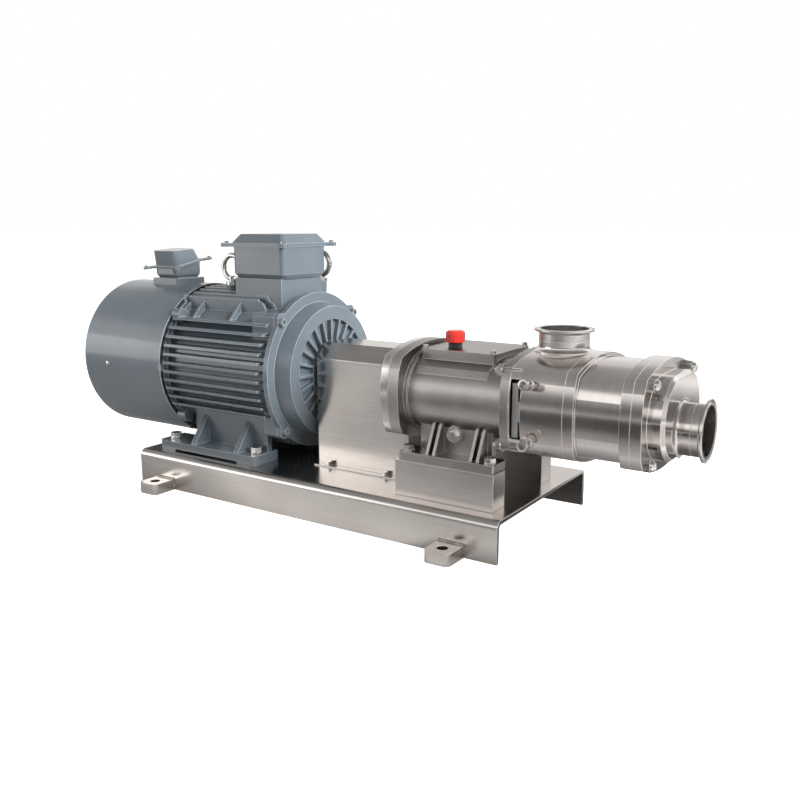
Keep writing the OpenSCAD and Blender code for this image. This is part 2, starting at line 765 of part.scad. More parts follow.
module aux_terminal_box() color("#74828c") aux_place() difference() {
    w = aux_w + 4;
    union() {
        difference() {
            translate([0, 0, -7]) linear_extrude(16.6) rrect(aux_w + 11, aux_w + 13, 5);
            translate([0, 0, 1 - cowl_r]) rotate([0, 90, 0])
                cylinder(r = cowl_r, h = 200, center = true);
        }
        intersection() {
            union() {
                hull() {
                    translate([0, 0, 9]) linear_extrude(0.5, $fn = 48) rrect(w - 9, w - 6, 11);
                    translate([0, 0, 17]) linear_extrude(0.5, $fn = 48) rrect(w, w + 4, 13);
                }
                translate([0, 0, 17]) linear_extrude(45, $fn = 48) rrect(w, w + 4, 13);
            }
            translate([0, 0, aux_h]) rotate([aux_tilt, 0, 0]) translate([-100, -100, -100])
                cube([200, 200, 100]);
        }
    }
    translate([0, 0, aux_h]) rotate([aux_tilt, 0, 0]) translate([0, 0, -14])
        linear_extrude(30) rrect(w - 12, w - 12, 5);
}
// Deep lid whose roof falls towards the far side
module aux_terminal_lid() color("#7f8d96") aux_place() translate([0, 0, aux_h]) rotate([aux_tilt, 0, 0])
    difference() {
        w = aux_w + 4;
        union() {
            linear_extrude(4) rrect(aux_w + 12, aux_w + 14, 8);
            hull() {
                translate([0, -0.5, 0]) linear_extrude(5, $fn = 48) rrect(w, w + 1, 11);
                translate([0, -4, aux_top - 4.4]) rotate([-7.7, 0, 0]) linear_extrude(0.5, $fn = 48)
                    rrect(w - 2, w - 8, 11);
            }
            for (a = [0:3]) rotate(a * 90 + 45) {
                translate([aux_lug, 0, 0]) cylinder(r = aux_lug_r, h = 4);
                translate([aux_lug - 16, -aux_lug_r, 0]) cube([16, 2 * aux_lug_r, 4]);
            }
        }
        for (a = [0:3]) rotate(a * 90 + 45) translate([aux_lug, 0, -1]) cylinder(r = 2.1, h = 8);
    }

// Ring, neck and collar of a lifting eye that stands on z
module eye_bolt(turn) {
    cylinder(r = 13, h = 6);
    translate([0, 0, 5.9]) cylinder(r = 8, h = 11);
    translate([0, 0, 33]) rotate([90, 0, turn]) rotate_extrude() translate([22.3, 0]) circle(4.7, $fn = 32);
}

module lifting_eyes() color("#a8adb0") for (p = eyes)
    translate([p[0], p[1], axis_z + p[2]]) eye_bolt(0);

// Coupling and guard

// Ring sector between two angles
module sector2d(r0, r1, half) intersection() {
    difference() {
        circle(r1);
        circle(r0);
    }
    polygon([[0, 0], [90 * cos(half), -90 * sin(half)], [90, -30], [90, 30],
        [90 * cos(half), 90 * sin(half)]]);
}

module claws(x0, x1, turn) for (i = [0:claw_n - 1])
    translate([0, 0, axis_z]) rotate([turn + i * 360 / claw_n, 0, 0])
        xplate(x0, x1) sector2d(24, hub_r - 2, 22);

module coupling_hub_motor() color("#5d6467") {
    difference() {
        xcyl(hub_r, hub_x, hub_x1, 0, axis_z);
        xcyl(hub_bore, hub_x - 1, hub_x1 + 1, 0, axis_z);
        block(hub_x - 1, hub_x1 + 1, -6, 6, axis_z + hub_bore - 5, axis_z + hub_bore + 3);
    }
    claws(hub_x1 - 1, hub_x2 - 1, 0);
}

module coupling_hub_pump() color("#5d6467") {
    difference() {
        xcyl(hub_r, hub_x2, hub_x3, 0, axis_z);
        xcyl(shaft_d / 2, hub_x2 - 1, hub_x3 + 1, 0, axis_z);
    }
    claws(hub_x1 + 1, hub_x2 + 1, 180 / claw_n);
}

module coupling_spider() color("#b7372c") translate([0, 0, axis_z])
    xplate(hub_x1 + 1, hub_x2 - 1) {
        difference() {
            circle(23.8);
            circle(12);
        }
        for (i = [0:2 * claw_n - 1]) rotate(90 / claw_n + i * 180 / claw_n)
            translate([22, -3]) square([hub_r - 25, 6]);
    }

// Half outline of the bent sheet, from the middle of the roof to the flange's edge
function guard_side(hw, top, cut) = [[hw - cut, top], [hw, top - cut]];

module guard2d() {
    t = guard_t;
    out = guard_hw + guard_foot;
    half = concat(guard_side(guard_hw, guard_top, guard_cut),
        [[guard_hw, base_h + t], [out, base_h + t], [out, base_h], [guard_hw - t, base_h]]);
    in = guard_side(guard_hw - t, guard_top - t, guard_cut - t * 0.4);
    polygon(concat(half, [in[1], in[0]], [[-in[0][0], in[0][1]], [-in[1][0], in[1][1]]],
        [for (k = [5:-1:0]) [-half[k][0], half[k][1]]]));
}

guard_x0 = face_x + 10;
guard_x1 = pump_x - 0.5;
guard_top = axis_z + guard_hw;

module coupling_guard() color("#b3a99b") difference() {
    xplate(guard_x0, guard_x1) guard2d();
    for (x = [guard_x0 + 28, guard_x1 - 43], s = [-1, 1])
        zcyl(3.3, base_h - 1, base_h + guard_t + 1, x, s * (guard_hw + guard_foot / 2));
}

module guard_bolts() color("#c2c4c4")
    for (x = [guard_x0 + 28, guard_x1 - 43], s = [-1, 1])
        translate([x, s * (guard_hw + guard_foot / 2), base_h]) {
            cylinder(r = 3.2, h = guard_t);
            translate([0, 0, guard_t]) cylinder(r = 6.5, h = 1.5);
            translate([0, 0, guard_t + 1.5]) linear_extrude(5.5) hex2d(10);
        }

// Bearing housing

module gear_cover() color("#b0aca6") difference() {
    union() {
        flange_slab(pump_x, flange_x);
        stadium_slab(flange_x, flange_x + 2.5, shaft_gap / 2 + 6);
    }
    xcyl(26, pump_x + 3, flange_x - 3, 0, axis_z);
    xcyl(shaft_d / 2 + 1, pump_x - 1, flange_x + 4, 0, axis_z);
    xcyl(shaft_d / 2 + 1, flange_x - 2, flange_x + 4, -shaft_gap, axis_z);
    for (a = [-1, 1], b = [-1, 1]) {
        xcyl(4.2, pump_x - 1, flange_x + 1, mid_y + a * nut_y, axis_z + b * nut_z);
        xcyl(6.8, pump_x - 1, pump_x + 8.5, mid_y + a * nut_y, axis_z + b * nut_z);
    }
}

module gear_cover_bolts() color("#c6c7c6") for (a = [-1, 1], b = [-1, 1])
    translate([pump_x, mid_y + a * nut_y, axis_z + b * nut_z]) rotate([0, 90, 0]) difference() {
        union() {
            translate([0, 0, 0.5]) cylinder(r = 6.5, h = 8);
            translate([0, 0, 8]) cylinder(r = 4, h = gear_cover_t + housing_flange_t - 12);
        }
        translate([0, 0, -1]) linear_extrude(5.5) hex2d(6);
    }

// Side view of the raised room on the housing
module top_box2d() polygon([[-80, 36], [-74, 47], [2 - top_lid_hw, 56],
    [2 - top_lid_hw, top_z - top_lid_t - axis_z + 8], [top_lid_hw - 2, top_z - axis_z + 8 - top_lid_t],
    [top_lid_hw - 2, 56], [74, 47], [80, 36], [0, 20]]);

drain_x = body_x + 82;
drain_z = axis_z - 57;

module bearing_housing() color("#8f8b86") difference() {
    union() {
        flange_slab(flange_x, body_x);
        stadium_slab(body_x, body_x + 6, housing_r + 4);
        stadium_slab(body_x, rear_x, housing_r);
        flange_slab(rear_x, chamber_x);
        translate([0, mid_y, axis_z]) xplate(top_lid_x + 2.5, top_lid_x + top_lid_l - 2.5) top_box2d();
        both_sides() {
            // foot plate with a round outer corner
            translate([foot_x_mid, -(foot_in + foot_out) / 2, foot_z]) linear_extrude(pump_foot_t)
                rrect(pump_foot_l, foot_out - foot_in, 5);
            // web up to the body
            block(foot_x_mid - 62, foot_x_mid + 66, -69, -58, foot_z + 1, axis_z - 38);
            // paired sloped ribs
            for (x = [foot_x_mid - 36, foot_x_mid - 24, foot_x_mid + 41, foot_x_mid + 53])
                translate([x, 0, 0]) rotate([90, 0, 90]) linear_extrude(5)
                    polygon([[-60, foot_z + pump_foot_t - 1], [4 - foot_out, foot_z + pump_foot_t - 1],
                        [4 - foot_out, foot_z + pump_foot_t + 1], [-76, axis_z - 42], [-60, axis_z - 42]]);
        }
        // drain boss
        translate([drain_x, mid_y - 74, drain_z]) rotate([-90, 0, 0]) cylinder(r = 14, h = 40);
    }
    // room of the gears, open at the cover
    stadium_slab(flange_x - 1, flange_x + gear_room, shaft_gap / 2 + 6);
    // bearing seats
    on_both() xcyl(bearing_r, flange_x + gear_room - 1, front_brg_x + bearing_w + 4);
    on_both() xcyl(bearing_r, rear_brg_x, rear_brg_x + 2 * bearing_w);
    on_both() xcyl(bearing_r - 6, rear_brg_x + 2 * bearing_w - 1, rear_x + 1);
    on_both() xcyl(lip_r, lip_x, chamber_x + 1);
    // oil room
    stadium_slab(front_brg_x + bearing_w + 3, rear_brg_x + 1, 48);
    translate([0, mid_y, axis_z]) block(top_lid_x + 10, top_lid_x + top_lid_l - 10, 9 - top_lid_hw,
        top_lid_hw - 9, 30, top_z - axis_z + 9);
    // drain hole and bolt holes
    translate([drain_x, mid_y - 75, drain_z]) rotate([-90, 0, 0]) cylinder(r = 6, h = 30);
    for (a = [-1, 1], b = [-1, 1]) {
        xcyl(4.2, flange_x - 1, body_x - 3, mid_y + a * nut_y, axis_z + b * nut_z);
        xcyl(5.2, rear_x - 1, chamber_x + 1, mid_y + a * stud_y, axis_z + b * stud_z);
    }
    for (s = [-1, 1], t = [-1, 1])
        zcyl(5.5, foot_z - 1, foot_z + pump_foot_t + 1, foot_x_mid + s * pump_bolt_dx / 2,
            mid_y + t * pump_bolt_y);
    for (s = [-1, 1], t = [-1, 1])
        zcyl(2.6, top_z - 12, top_z + 12, top_lid_x + top_lid_l / 2 + s * (top_lid_l / 2 - 6),
            mid_y + t * (top_lid_hw - 6));
}

module lid_at() translate([top_lid_x + top_lid_l / 2, mid_y, top_z + 8 - top_lid_t]) children();

cap_at = [-22, -27];

module housing_lid() color("#a19d97") lid_at() linear_extrude(top_lid_t) difference() {
    rrect(top_lid_l, 2 * top_lid_hw, 5);
    for (s = [-1, 1], t = [-1, 1])
        translate([s * (top_lid_l / 2 - 6), t * (top_lid_hw - 6)]) circle(3.2);
    translate(cap_at) circle(8);
}

module housing_lid_screws() color("#c6c7c6") {
    for (s = [-1, 1], t = [-1, 1]) lid_at()
        translate([s * (top_lid_l / 2 - 6), t * (top_lid_hw - 6), top_lid_t]) {
            difference() {
                cylinder(r = 4.5, h = 5);
                translate([0, 0, 2.5]) linear_extrude(3) hex2d(4);
            }
            translate([0, 0, -18]) cylinder(r = 2.5, h = 18);
        }
}

module filler_cap() color("#d8261c") lid_at() translate([cap_at[0], cap_at[1], top_lid_t]) {
    translate([0, 0, -top_lid_t]) cylinder(r = 8, h = top_lid_t);
    cylinder(r = cap_d / 2 - 4, h = 9);
    translate([0, 0, 9]) cylinder(r = cap_d / 2, h = 16);
    translate([0, 0, 25]) cylinder(r1 = cap_d / 2, r2 = cap_d / 2 - 2.5, h = 2.5);
}

module drain_plug() color("#c3c2bf") translate([drain_x, mid_y - 74, drain_z]) rotate([90, 0, 0]) {
    translate([0, 0, -20]) cylinder(r = 6, h = 20);
    cylinder(r = 11.5, h = 2.5);
    translate([0, 0, 2.5]) linear_extrude(9) hex2d(14);
}

module shaft_seal_rings() color("#2b2b2b") {
    xtube(26, shaft_d / 2 + run, pump_x + 3, flange_x - 3, 0, axis_z);
    on_both() xtube(lip_r, shaft_d / 2 + run, lip_x, lip_x + 9);
}

module bearing_outer_rings() color("#c3c6c8") on_both()
    for (x = [front_brg_x, rear_brg_x, rear_brg_x + bearing_w]) {
        xtube(bearing_r, bearing_r - 4, x, x + bearing_w);
        for (d = [0.8, bearing_w - 2.3])
            xtube(bearing_r - 4, shaft_d / 2 + 4.3, x + d, x + d + 1.5);
    }

module inner_rings() for (x = [front_brg_x, rear_brg_x, rear_brg_x + bearing_w])
    xtube(shaft_d / 2 + 4, shaft_d / 2, x, x + bearing_w);

module drive_bearing_inners() color("#cfd2d4") on_drive() inner_rings();
module driven_bearing_inners() color("#cfd2d4") on_driven() inner_rings();

// Shaft with the collar that the seal turns on and the end that carries the screw
module pump_shaft(x0) {
    xcyl(shaft_d / 2, x0, screw_x);
    xcyl(screw_bore_d / 2, screw_x, screw_x + screw_l + 10);
    xtube(shaft_d / 2 + 6, shaft_d / 2 - 1, seal_x + seal_l + run, seal_x + seal_l + 9);
    xtube(shaft_d / 2 + 4.5, shaft_d / 2 - 1, seal_x + seal_l + 9, screw_x);
}

module drive_shaft() color("#bfc1c1") on_drive() pump_shaft(hub_x2);
module driven_shaft() color("#bfc1c1") on_driven() pump_shaft(gear_x - 1);

// Involute tooth outline, from the base circle to the tip
function inv_pt(rb, r, side, half) =
    let(a = acos(min(1, rb / r)), t = tan(a) * 180 / PI - a)
    [r, side * (half - t)];

module gear2d() {
    rp = shaft_gap / 2;
    ra = rp + gear_m * 0.94;
    rf = rp - gear_m * 1.2;
    rb = rp * cos(20);
    half = 90 / gear_teeth - 0.25 + (tan(20) * 180 / PI - 20);
    steps = 4;
    side = [for (k = [0:steps]) inv_pt(rb, rb + (ra - rb) * k / steps, 1, half)];
    pts = [for (i = [0:gear_teeth - 1]) let(c = i * 360 / gear_teeth) each concat(
        [[rf, c - half - 0.6]],
        [for (k = [0:steps]) [side[k][0], c - side[k][1]]],
        [for (k = [steps:-1:0]) [side[k][0], c + side[k][1]]],
        [[rf, c + half + 0.6]])];
    difference() {
        polygon([for (p = pts) [p[0] * cos(p[1]), p[0] * sin(p[1])]]);
        circle(shaft_d / 2);
        for (i = [0:4]) rotate(i * 72) translate([shaft_d / 2 + 6, 0]) circle(2.5);
    }
}

module gear() rotate([180, 0, 0]) xplate(gear_x, gear_x + gear_face) rotate(180) mirror([0, 1]) gear2d();

module drive_gear() color("#a9a58f") on_drive() gear();
module driven_gear() color("#a9a58f") on_driven() gear();

// Nuts and washers behind the housing's rear flange
module housing_nuts() color("#c6c7c6") for (a = [-1, 1], b = [-1, 1])
    translate([rear_x, mid_y + a * stud_y, axis_z + b * stud_z]) {
        rotate([0, -90, 0]) cylinder(r = 9.5, h = 2);
        translate([-2, 0, 0]) rotate([0, -90, 0]) linear_extrude(8) hex2d(16);
        translate([-15, 0, 0]) rotate([0, 90, 0]) cylinder(r = 5, h = 27 + housing_rear_t);
    }

module pump_foot_bolts() color("#cacac8") for (s = [-1, 1], t = [-1, 1])
    translate([foot_x_mid + s * pump_bolt_dx / 2, mid_y + t * pump_bolt_y, foot_z + pump_foot_t]) {
        cylinder(r = 10, h = 2);
        translate([0, 0, 2]) linear_extrude(7) hex2d(16.5);
        translate([0, 0, -pump_foot_t - 20]) cylinder(r = 5, h = pump_foot_t + 20);
    }

// Pumping section

// Small pipe that leans up or down from the chamber's side
module nipple(z, lean, r, from = -98) translate([discharge_x - 2, from, axis_z + z])
    rotate([90 - lean, 0, 0]) translate([0, 0, 0]) cylinder(r = r, h = 38);

module nipples(r, from = -98) both_sides() {
    nipple(41, 8, r, from);
    nipple(-37, -8, r, from);
}

module seal_chamber() color("#a9a6a1") difference() {
    union() {
        flange_slab(chamber_x, casing_x);
        // discharge neck with a round fillet at its root
        translate([discharge_x, mid_y, axis_z + 60]) cylinder(r = tube_r, h = discharge_h - 60 - ferrule_l);
        translate([discharge_x, mid_y, axis_z + sec_h + sec_top - 6]) rotate_extrude() difference() {
            square([tube_r + 7, 13]);
            translate([tube_r + 7, 13]) circle(7);
        }
    }
    translate([discharge_x, mid_y, axis_z + seal_r + 2]) cylinder(r = pipe_r - 4, h = 60);
    translate([discharge_x, mid_y, axis_z + sec_h + sec_top - 4]) cylinder(r = pipe_r, h = 60);
    block(chamber_x - 40, chamber_x, mid_y - 80, mid_y + 80, axis_z, axis_z + sec_h + sec_top + 0.5);
    block(chamber_x - 40, chamber_x - 0.8, mid_y - 80, mid_y + 80, axis_z, axis_z + 130);
    // seal rooms and the screw room
    on_both() xcyl(seal_r, seal_x, product_x + 1);
    on_both() xcyl(shaft_d / 2 + 2, chamber_x - 1, product_x + 1);
    stadium_slab(product_x, casing_x + 1, bore_screw_r);
    // openings beside the seals
    both_sides() block(window_x, window_x + window_w, -150, -window_deep,
        axis_z + 3 - window_h / 2, axis_z + 3 + window_h / 2);
    nipples(6.5);
    both_sides() for (p = [[41, 8], [-37, -8]]) nipple(p[0], p[1], 3.2, -60);
    for (a = [-1, 1], b = [-1, 1])
        xcyl(5.2, chamber_x - 1, chamber_x + 16, mid_y + a * stud_y, axis_z + b * stud_z);
}

module seal_seats() color("#3a3a3a") on_both()
    xtube(seal_r, shaft_d / 2 + 2, seal_x, seal_x + seal_l);

// Plates that close the back of the side openings, with a tongue to the far edge
module seal_shields() color("#8d9092") both_sides() {
    zc = axis_z + 3;
    block(window_x, window_x + window_w - 7, -94, -91, zc - window_h / 2, zc + window_h / 2);
    block(window_x + window_w - 7, window_x + window_w, -94, -91, zc - 15, zc + 15);
}

module flush_nipples() color("#c0bfbb") difference() {
    nipples(6.5);
    nipples(3.2, -90);
}

// Clamp ferrule: short tube with a sloped rim, axis along Z, its face at the top
module ferrule() rotate_extrude() difference() {
    union() {
        square([tube_r, ferrule_l]);
        polygon([[0, ferrule_l - 8.4], [tube_r, ferrule_l - 6.4], [ferrule_d / 2, ferrule_l - 2.9],
            [ferrule_d / 2, ferrule_l], [0, ferrule_l]]);
    }
    translate([-1, -1]) square([pipe_r + 1, ferrule_l + 2]);
    translate([(pipe_r + ferrule_d / 2) / 2 + 1, ferrule_l + 0.6]) circle(2.2);
}

module discharge_ferrule() color("#c9c6bf")
    translate([discharge_x, mid_y, axis_z + discharge_h - ferrule_l]) ferrule();

module rotor_casing() color("#aaa7a2") difference() {
    union() {
        flange_slab(casing_x, casing_body_x);
        flange_slab(casing_body_x, front_x, -6);
        flange_slab(front_x, cover_x);
    }
    on_both() xcyl(bore_screw_r, casing_x - 1, cover_x + 1);
    for (a = [-1, 1], b = [-1, 1])
        xcyl(5.2, front_x + 2, cover_x + 1, mid_y + a * nut_y, axis_z + b * nut_z);
}

// Cross-section of a screw. Each flank is the path that the tip of the
// other screw takes, moved back by the flank gap.
function flank(t) =
    let(x = shaft_gap - screw_r * cos(t), y = screw_r * sin(t), r = norm([x, y]))
    [r, atan2(y, x) - t];

module screw2d() {
    tc = acos(shaft_gap / 2 / screw_r);
    n = 5;
    span = 360 / screw_starts;
    half = span / 4;
    lo = [for (k = [0:n]) let(f = flank(tc * k / n)) [max(root_r, f[0] - root_gap * (1 - k / n)), f[1]]];
    pts = [for (i = [0:screw_starts - 1]) let(c = i * span) each concat(
        [for (k = [0:n]) [lo[k][0], c - half + flank_gap + lo[k][1]]],
        [for (k = [1:5]) [screw_r, c + (half - flank_gap) * (k / 3 - 1)]],
        [for (k = [n:-1:0]) [lo[k][0], c + half - flank_gap - lo[k][1]]],
        [for (k = [1:4]) [root_r, c + half + (span - 2 * half) * k / 5]])];
    polygon([for (p = pts) [p[0] * cos(p[1]), p[0] * sin(p[1])]]);
}

module screw_body(hand, turn) difference() {
    translate([screw_x, 0, 0]) rotate([90, 0, 90])
        linear_extrude(screw_l, twist = hand * twist_deg, slices = ceil(twist_deg / 12), segments = 4)
            rotate(turn) screw2d();
    xcyl(screw_bore_d / 2, screw_x - 1, screw_x + screw_l + 1);
}

module drive_screw() color("#c4c4c0") on_drive() screw_body(1, 0);
module driven_screw() color("#c4c4c0") on_driven() screw_body(-1, 90);

// Round nut that holds a screw on its shaft
module screw_nut() xturn(screw_x + screw_l) difference() {
    union() {
        square([17, 11]);
        intersection() {
            translate([0, -7]) circle(24.8);
            square([17, 30]);
        }
    }
    translate([-1, -1]) square([screw_bore_d / 2 + 1, 11]);
}

module drive_screw_nut() color("#cfcfcb") on_drive() screw_nut();
module driven_screw_nut() color("#cfcfcb") on_driven() screw_nut();

// Stadium slab whose edge is cut off at an angle
module bevel_stadium(x0, x1, r0, r1) {
    for (s = [-1, 1]) translate([x0, mid_y + s * shaft_gap / 2, axis_z]) rotate([0, 90, 0])
        cylinder(r1 = r0, r2 = r1, h = x1 - x0);
    translate([0, mid_y + shaft_gap / 2, axis_z]) rotate([90, 0, 0]) linear_extrude(shaft_gap)
        polygon([[x0, -r0], [x0, r0], [x1, r1], [x1, -r1]]);
}

suction_z = axis_z - suction_drop;

module front_cover() color("#b4b1ab") difference() {
    union() {
        flange_slab(cover_x, cap_x);
        stadium_slab(cap_x, nose_x - 5, cap_r);
        bevel_stadium(nose_x - 5, nose_x, cap_r, cap_r - 5);
        xcyl(tube_r, nose_x - 1, suction_x - ferrule_l, mid_y, suction_z);
        xturn(nose_x, mid_y, suction_z) difference() {
            square([tube_r + 5, 5]);
            translate([tube_r + 5, 5]) circle(5);
        }
    }
    stadium_slab(cover_x - 1, nose_x - 7, cap_r - 9);
    xcyl(pipe_r, nose_x - 8, suction_x, mid_y, suction_z);
    for (a = [-1, 1], b = [-1, 1])
        xcyl(5.2, cover_x - 1, cap_x + 1, mid_y + a * nut_y, axis_z + b * nut_z);
}

module cover_nuts() color("#cccbc8") for (a = [-1, 1], b = [-1, 1])
    translate([cap_x, mid_y + a * nut_y, axis_z + b * nut_z]) rotate([0, 90, 0]) {
        translate([0, 0, 2.5 - cover_t - casing_flange_t])
            cylinder(r = 5, h = cover_t + casing_flange_t - 2.5);
        linear_extrude(9) hex2d(17);
        intersection() {
            translate([0, 0, 8.9]) cylinder(r = 7.8, h = 9);
            translate([0, 0, 8]) sphere(r = 8.6);
        }
    }

module suction_ferrule() color("#c9c6bf")
    translate([suction_x - ferrule_l, mid_y, suction_z]) rotate([0, 90, 0]) ferrule();

base_channel();
base_foot_lugs();
support_blocks();
motor_frame();
motor_feet();
motor_foot_bolts();
drive_end_shield();
rear_end_shield();
motor_screws();
stator_core();
stator_windings();
motor_shaft();
rotor_core();
motor_bearing_outers();
motor_bearing_inners();
fan_cowl();
cowl_grille();
fan_motor();
cooling_fan();
terminal_box();
terminal_box_lid();
terminal_lid_screws();
aux_terminal_box();
aux_terminal_lid();
lifting_eyes();
coupling_hub_motor();
coupling_spider();
coupling_hub_pump();
coupling_guard();
guard_bolts();
gear_cover();
gear_cover_bolts();
bearing_housing();
housing_lid();
housing_lid_screws();
filler_cap();
drain_plug();
shaft_seal_rings();
bearing_outer_rings();
drive_bearing_inners();
driven_bearing_inners();
drive_shaft();
driven_shaft();
drive_gear();
driven_gear();
housing_nuts();
pump_foot_bolts();
seal_chamber();
seal_seats();
seal_shields();
flush_nipples();
discharge_ferrule();
rotor_casing();
drive_screw();
driven_screw();
drive_screw_nut();
driven_screw_nut();
front_cover();
cover_nuts();
suction_ferrule();
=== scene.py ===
"""Looks of the twin screw pump set: an enamelled motor and a stainless steel pump on one folded base.

Metres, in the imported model's frame: +X runs from the motor to the suction port and +Z is up."""

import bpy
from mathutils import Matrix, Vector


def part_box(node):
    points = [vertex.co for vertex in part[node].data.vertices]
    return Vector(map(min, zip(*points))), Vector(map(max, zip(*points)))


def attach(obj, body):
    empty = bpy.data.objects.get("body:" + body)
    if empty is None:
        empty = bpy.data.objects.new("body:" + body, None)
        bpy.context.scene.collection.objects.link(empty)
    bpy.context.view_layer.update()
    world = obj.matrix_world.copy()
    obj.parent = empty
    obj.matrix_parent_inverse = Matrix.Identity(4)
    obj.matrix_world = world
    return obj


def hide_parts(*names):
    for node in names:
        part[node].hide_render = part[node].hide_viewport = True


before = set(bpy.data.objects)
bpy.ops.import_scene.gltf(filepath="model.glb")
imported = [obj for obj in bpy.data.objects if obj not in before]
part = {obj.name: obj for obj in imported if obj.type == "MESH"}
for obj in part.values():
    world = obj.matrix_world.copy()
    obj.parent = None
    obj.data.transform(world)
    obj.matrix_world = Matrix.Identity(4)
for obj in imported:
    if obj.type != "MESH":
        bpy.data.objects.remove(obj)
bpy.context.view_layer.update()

import math

import bmesh
import bpy
from mathutils import Matrix, Vector

MM = 0.001


# Camera: the photograph's place, 33 degrees round from the side and 12 degrees down

CAMERA_AT = (0.92908, -1.2409, 0.49494)
CAMERA_ROUND, CAMERA_DOWN, CAMERA_TILT = 33.421, 11.749, -0.156  # degrees
SENSOR = 36  # mm wide
FRAME, FOCAL = 800, 866.22  # pixels
MIDDLE_OFF = (-0.34, 1.11)  # pixels from the frame's middle to the lens axis


def set_camera():
    azimuth, down, tilt = (math.radians(a) for a in (CAMERA_ROUND, CAMERA_DOWN, CAMERA_TILT))
    ahead = Vector((-math.sin(azimuth) * math.cos(down), math.cos(azimuth) * math.cos(down), -math.sin(down)))
    level = Vector((math.cos(azimuth), math.sin(azimuth), 0))
    upright = level.cross(ahead)
    right = level * math.cos(tilt) + upright * math.sin(tilt)
    above = upright * math.cos(tilt) - level * math.sin(tilt)
    lens = bpy.data.cameras.new("camera")
    lens.sensor_width = SENSOR
    lens.lens = FOCAL * SENSOR / FRAME
    lens.shift_x, lens.shift_y = (off / FRAME for off in MIDDLE_OFF)
    lens.clip_end = 60
    eye = bpy.data.objects.new("camera", lens)
    eye.matrix_world = Matrix.Translation(CAMERA_AT) @ Matrix((right, above, -ahead)).transposed().to_4x4()
    bpy.context.scene.collection.objects.link(eye)
    bpy.context.scene.camera = eye


# Shader helpers

def linear(code):
    """An sRGB hex colour as linear red, green, blue and alpha."""
    parts = [int(code[i:i + 2], 16) / 255 for i in (1, 3, 5)]
    return [c / 12.92 if c <= 0.04045 else ((c + 0.055) / 1.055) ** 2.4 for c in parts] + [1.0]


def put(tree, kind, inputs=(), stops=(), **settings):
    """Adds one shader node with its settings, its values and the links into it."""
    made = tree.nodes.new(kind)
    for key, value in settings.items():
        setattr(made, key, value)
    for key, value in dict(inputs).items():
        if isinstance(value, bpy.types.NodeSocket):
            tree.links.new(value, made.inputs[key])
        else:
            made.inputs[key].default_value = value
    for i, (place, shade) in enumerate(stops):
        stop = made.color_ramp.elements[i] if i < 2 else made.color_ramp.elements.new(place)
        stop.position, stop.color = place, shade
    return made


def start(name):
    """An empty material: itself, its tree and its place coordinates, in metres on the object."""
    finish = bpy.data.materials.new(name)
    finish.use_nodes = True
    tree = finish.node_tree
    tree.nodes.clear()
    return finish, tree, put(tree, "ShaderNodeTexCoord").outputs["Object"]


def marks(tree, place, size, detail=3.0, rough=0.55):
    """Noise whose features are size = (x, y, z) mm long."""
    spread = put(tree, "ShaderNodeVectorMath", {0: place, 1: [1 / (s * MM) for s in size]},
                 operation="MULTIPLY")
    return put(tree, "ShaderNodeTexNoise", {"Vector": spread.outputs[0], "Scale": 1.0, "Detail": detail,
                                            "Roughness": rough}).outputs["Fac"]


def edges(tree, radius):
    """A rounded edge normal of that radius in mm, and how much of an edge a point is, 0 to 1."""
    rounded = put(tree, "ShaderNodeBevel", {"Radius": radius * MM}, samples=6).outputs["Normal"]
    true = put(tree, "ShaderNodeNewGeometry").outputs["Normal"]
    turn = put(tree, "ShaderNodeVectorMath", {0: rounded, 1: true}, operation="DOT_PRODUCT").outputs["Value"]
    # The edge begins where the rounding turns the normal by 10 degrees and is full at 31
    # The finishes paint their edge highlights through this mask
    worn = put(tree, "ShaderNodeMapRange", {"Value": turn, "From Min": 0.985, "From Max": 0.86})
    return rounded, worn.outputs["Result"]


# Painted highlight: the pale colour that the edges of bare metal are drawn towards
RUBBED_STEEL = "#eeebe6"


def steel(name, shade, bright, rough, stroke, relief, cloud=70, edge=1.0, spread=0.05, waves=0.0,
          metallic=1.0):
    """Bare metal. stroke is the size of its finest marks in mm, relief their depth in mm, cloud the size
    in mm of the soft patches that handling and rolling leave, edge the radius of its edges in mm, spread how
    much its roughness wanders, and waves the depth in mm of its unevenness."""
    finish, tree, place = start(name)
    lines = marks(tree, place, stroke, 4.0, 0.6)
    patches = marks(tree, place, (cloud, cloud, cloud), 2.0, 0.5)
    rounded, worn = edges(tree, edge)
    both = put(tree, "ShaderNodeMix", {0: 0.5, 2: lines, 3: patches}).outputs[0]
    colour = put(tree, "ShaderNodeValToRGB", {0: both},
                 [(0.4, linear(shade)), (0.6, linear(bright))]).outputs[0]
    # Painted highlight: the edges are drawn towards a pale steel colour
    rubbed = put(tree, "ShaderNodeMath", {0: worn, 1: 0.5}, operation="MULTIPLY").outputs[0]
    colour = put(tree, "ShaderNodeMix", {0: rubbed, 6: colour, 7: linear(RUBBED_STEEL)},
                 data_type="RGBA").outputs[2]
    gloss = put(tree, "ShaderNodeMapRange", {"Value": both, "From Min": 0.35, "From Max": 0.65,
                                             "To Min": rough - spread, "To Max": rough + spread}).outputs[0]
    height = put(tree, "ShaderNodeBump", {"Height": lines, "Distance": relief * MM, "Strength": 0.8,
                                          "Normal": rounded}).outputs[0]
    if waves:
        swell = marks(tree, place, (45, 60, 60), 1.0, 0.4)
        height = put(tree, "ShaderNodeBump", {"Height": swell, "Distance": waves * MM, "Strength": 1.0,
                                              "Normal": height}).outputs[0]
    # Painted highlight: the edges are made less metallic, so they show as a thin pale line whatever they mirror
    bare = put(tree, "ShaderNodeMapRange", {"Value": worn, "To Min": metallic,
                                            "To Max": metallic * 0.45}).outputs[0]
    skin = put(tree, "ShaderNodeBsdfPrincipled", {"Base Color": colour, "Metallic": bare, "Roughness": gloss,
                                                  "Normal": height})
    put(tree, "ShaderNodeOutputMaterial", {"Surface": skin.outputs[0]})
    return finish


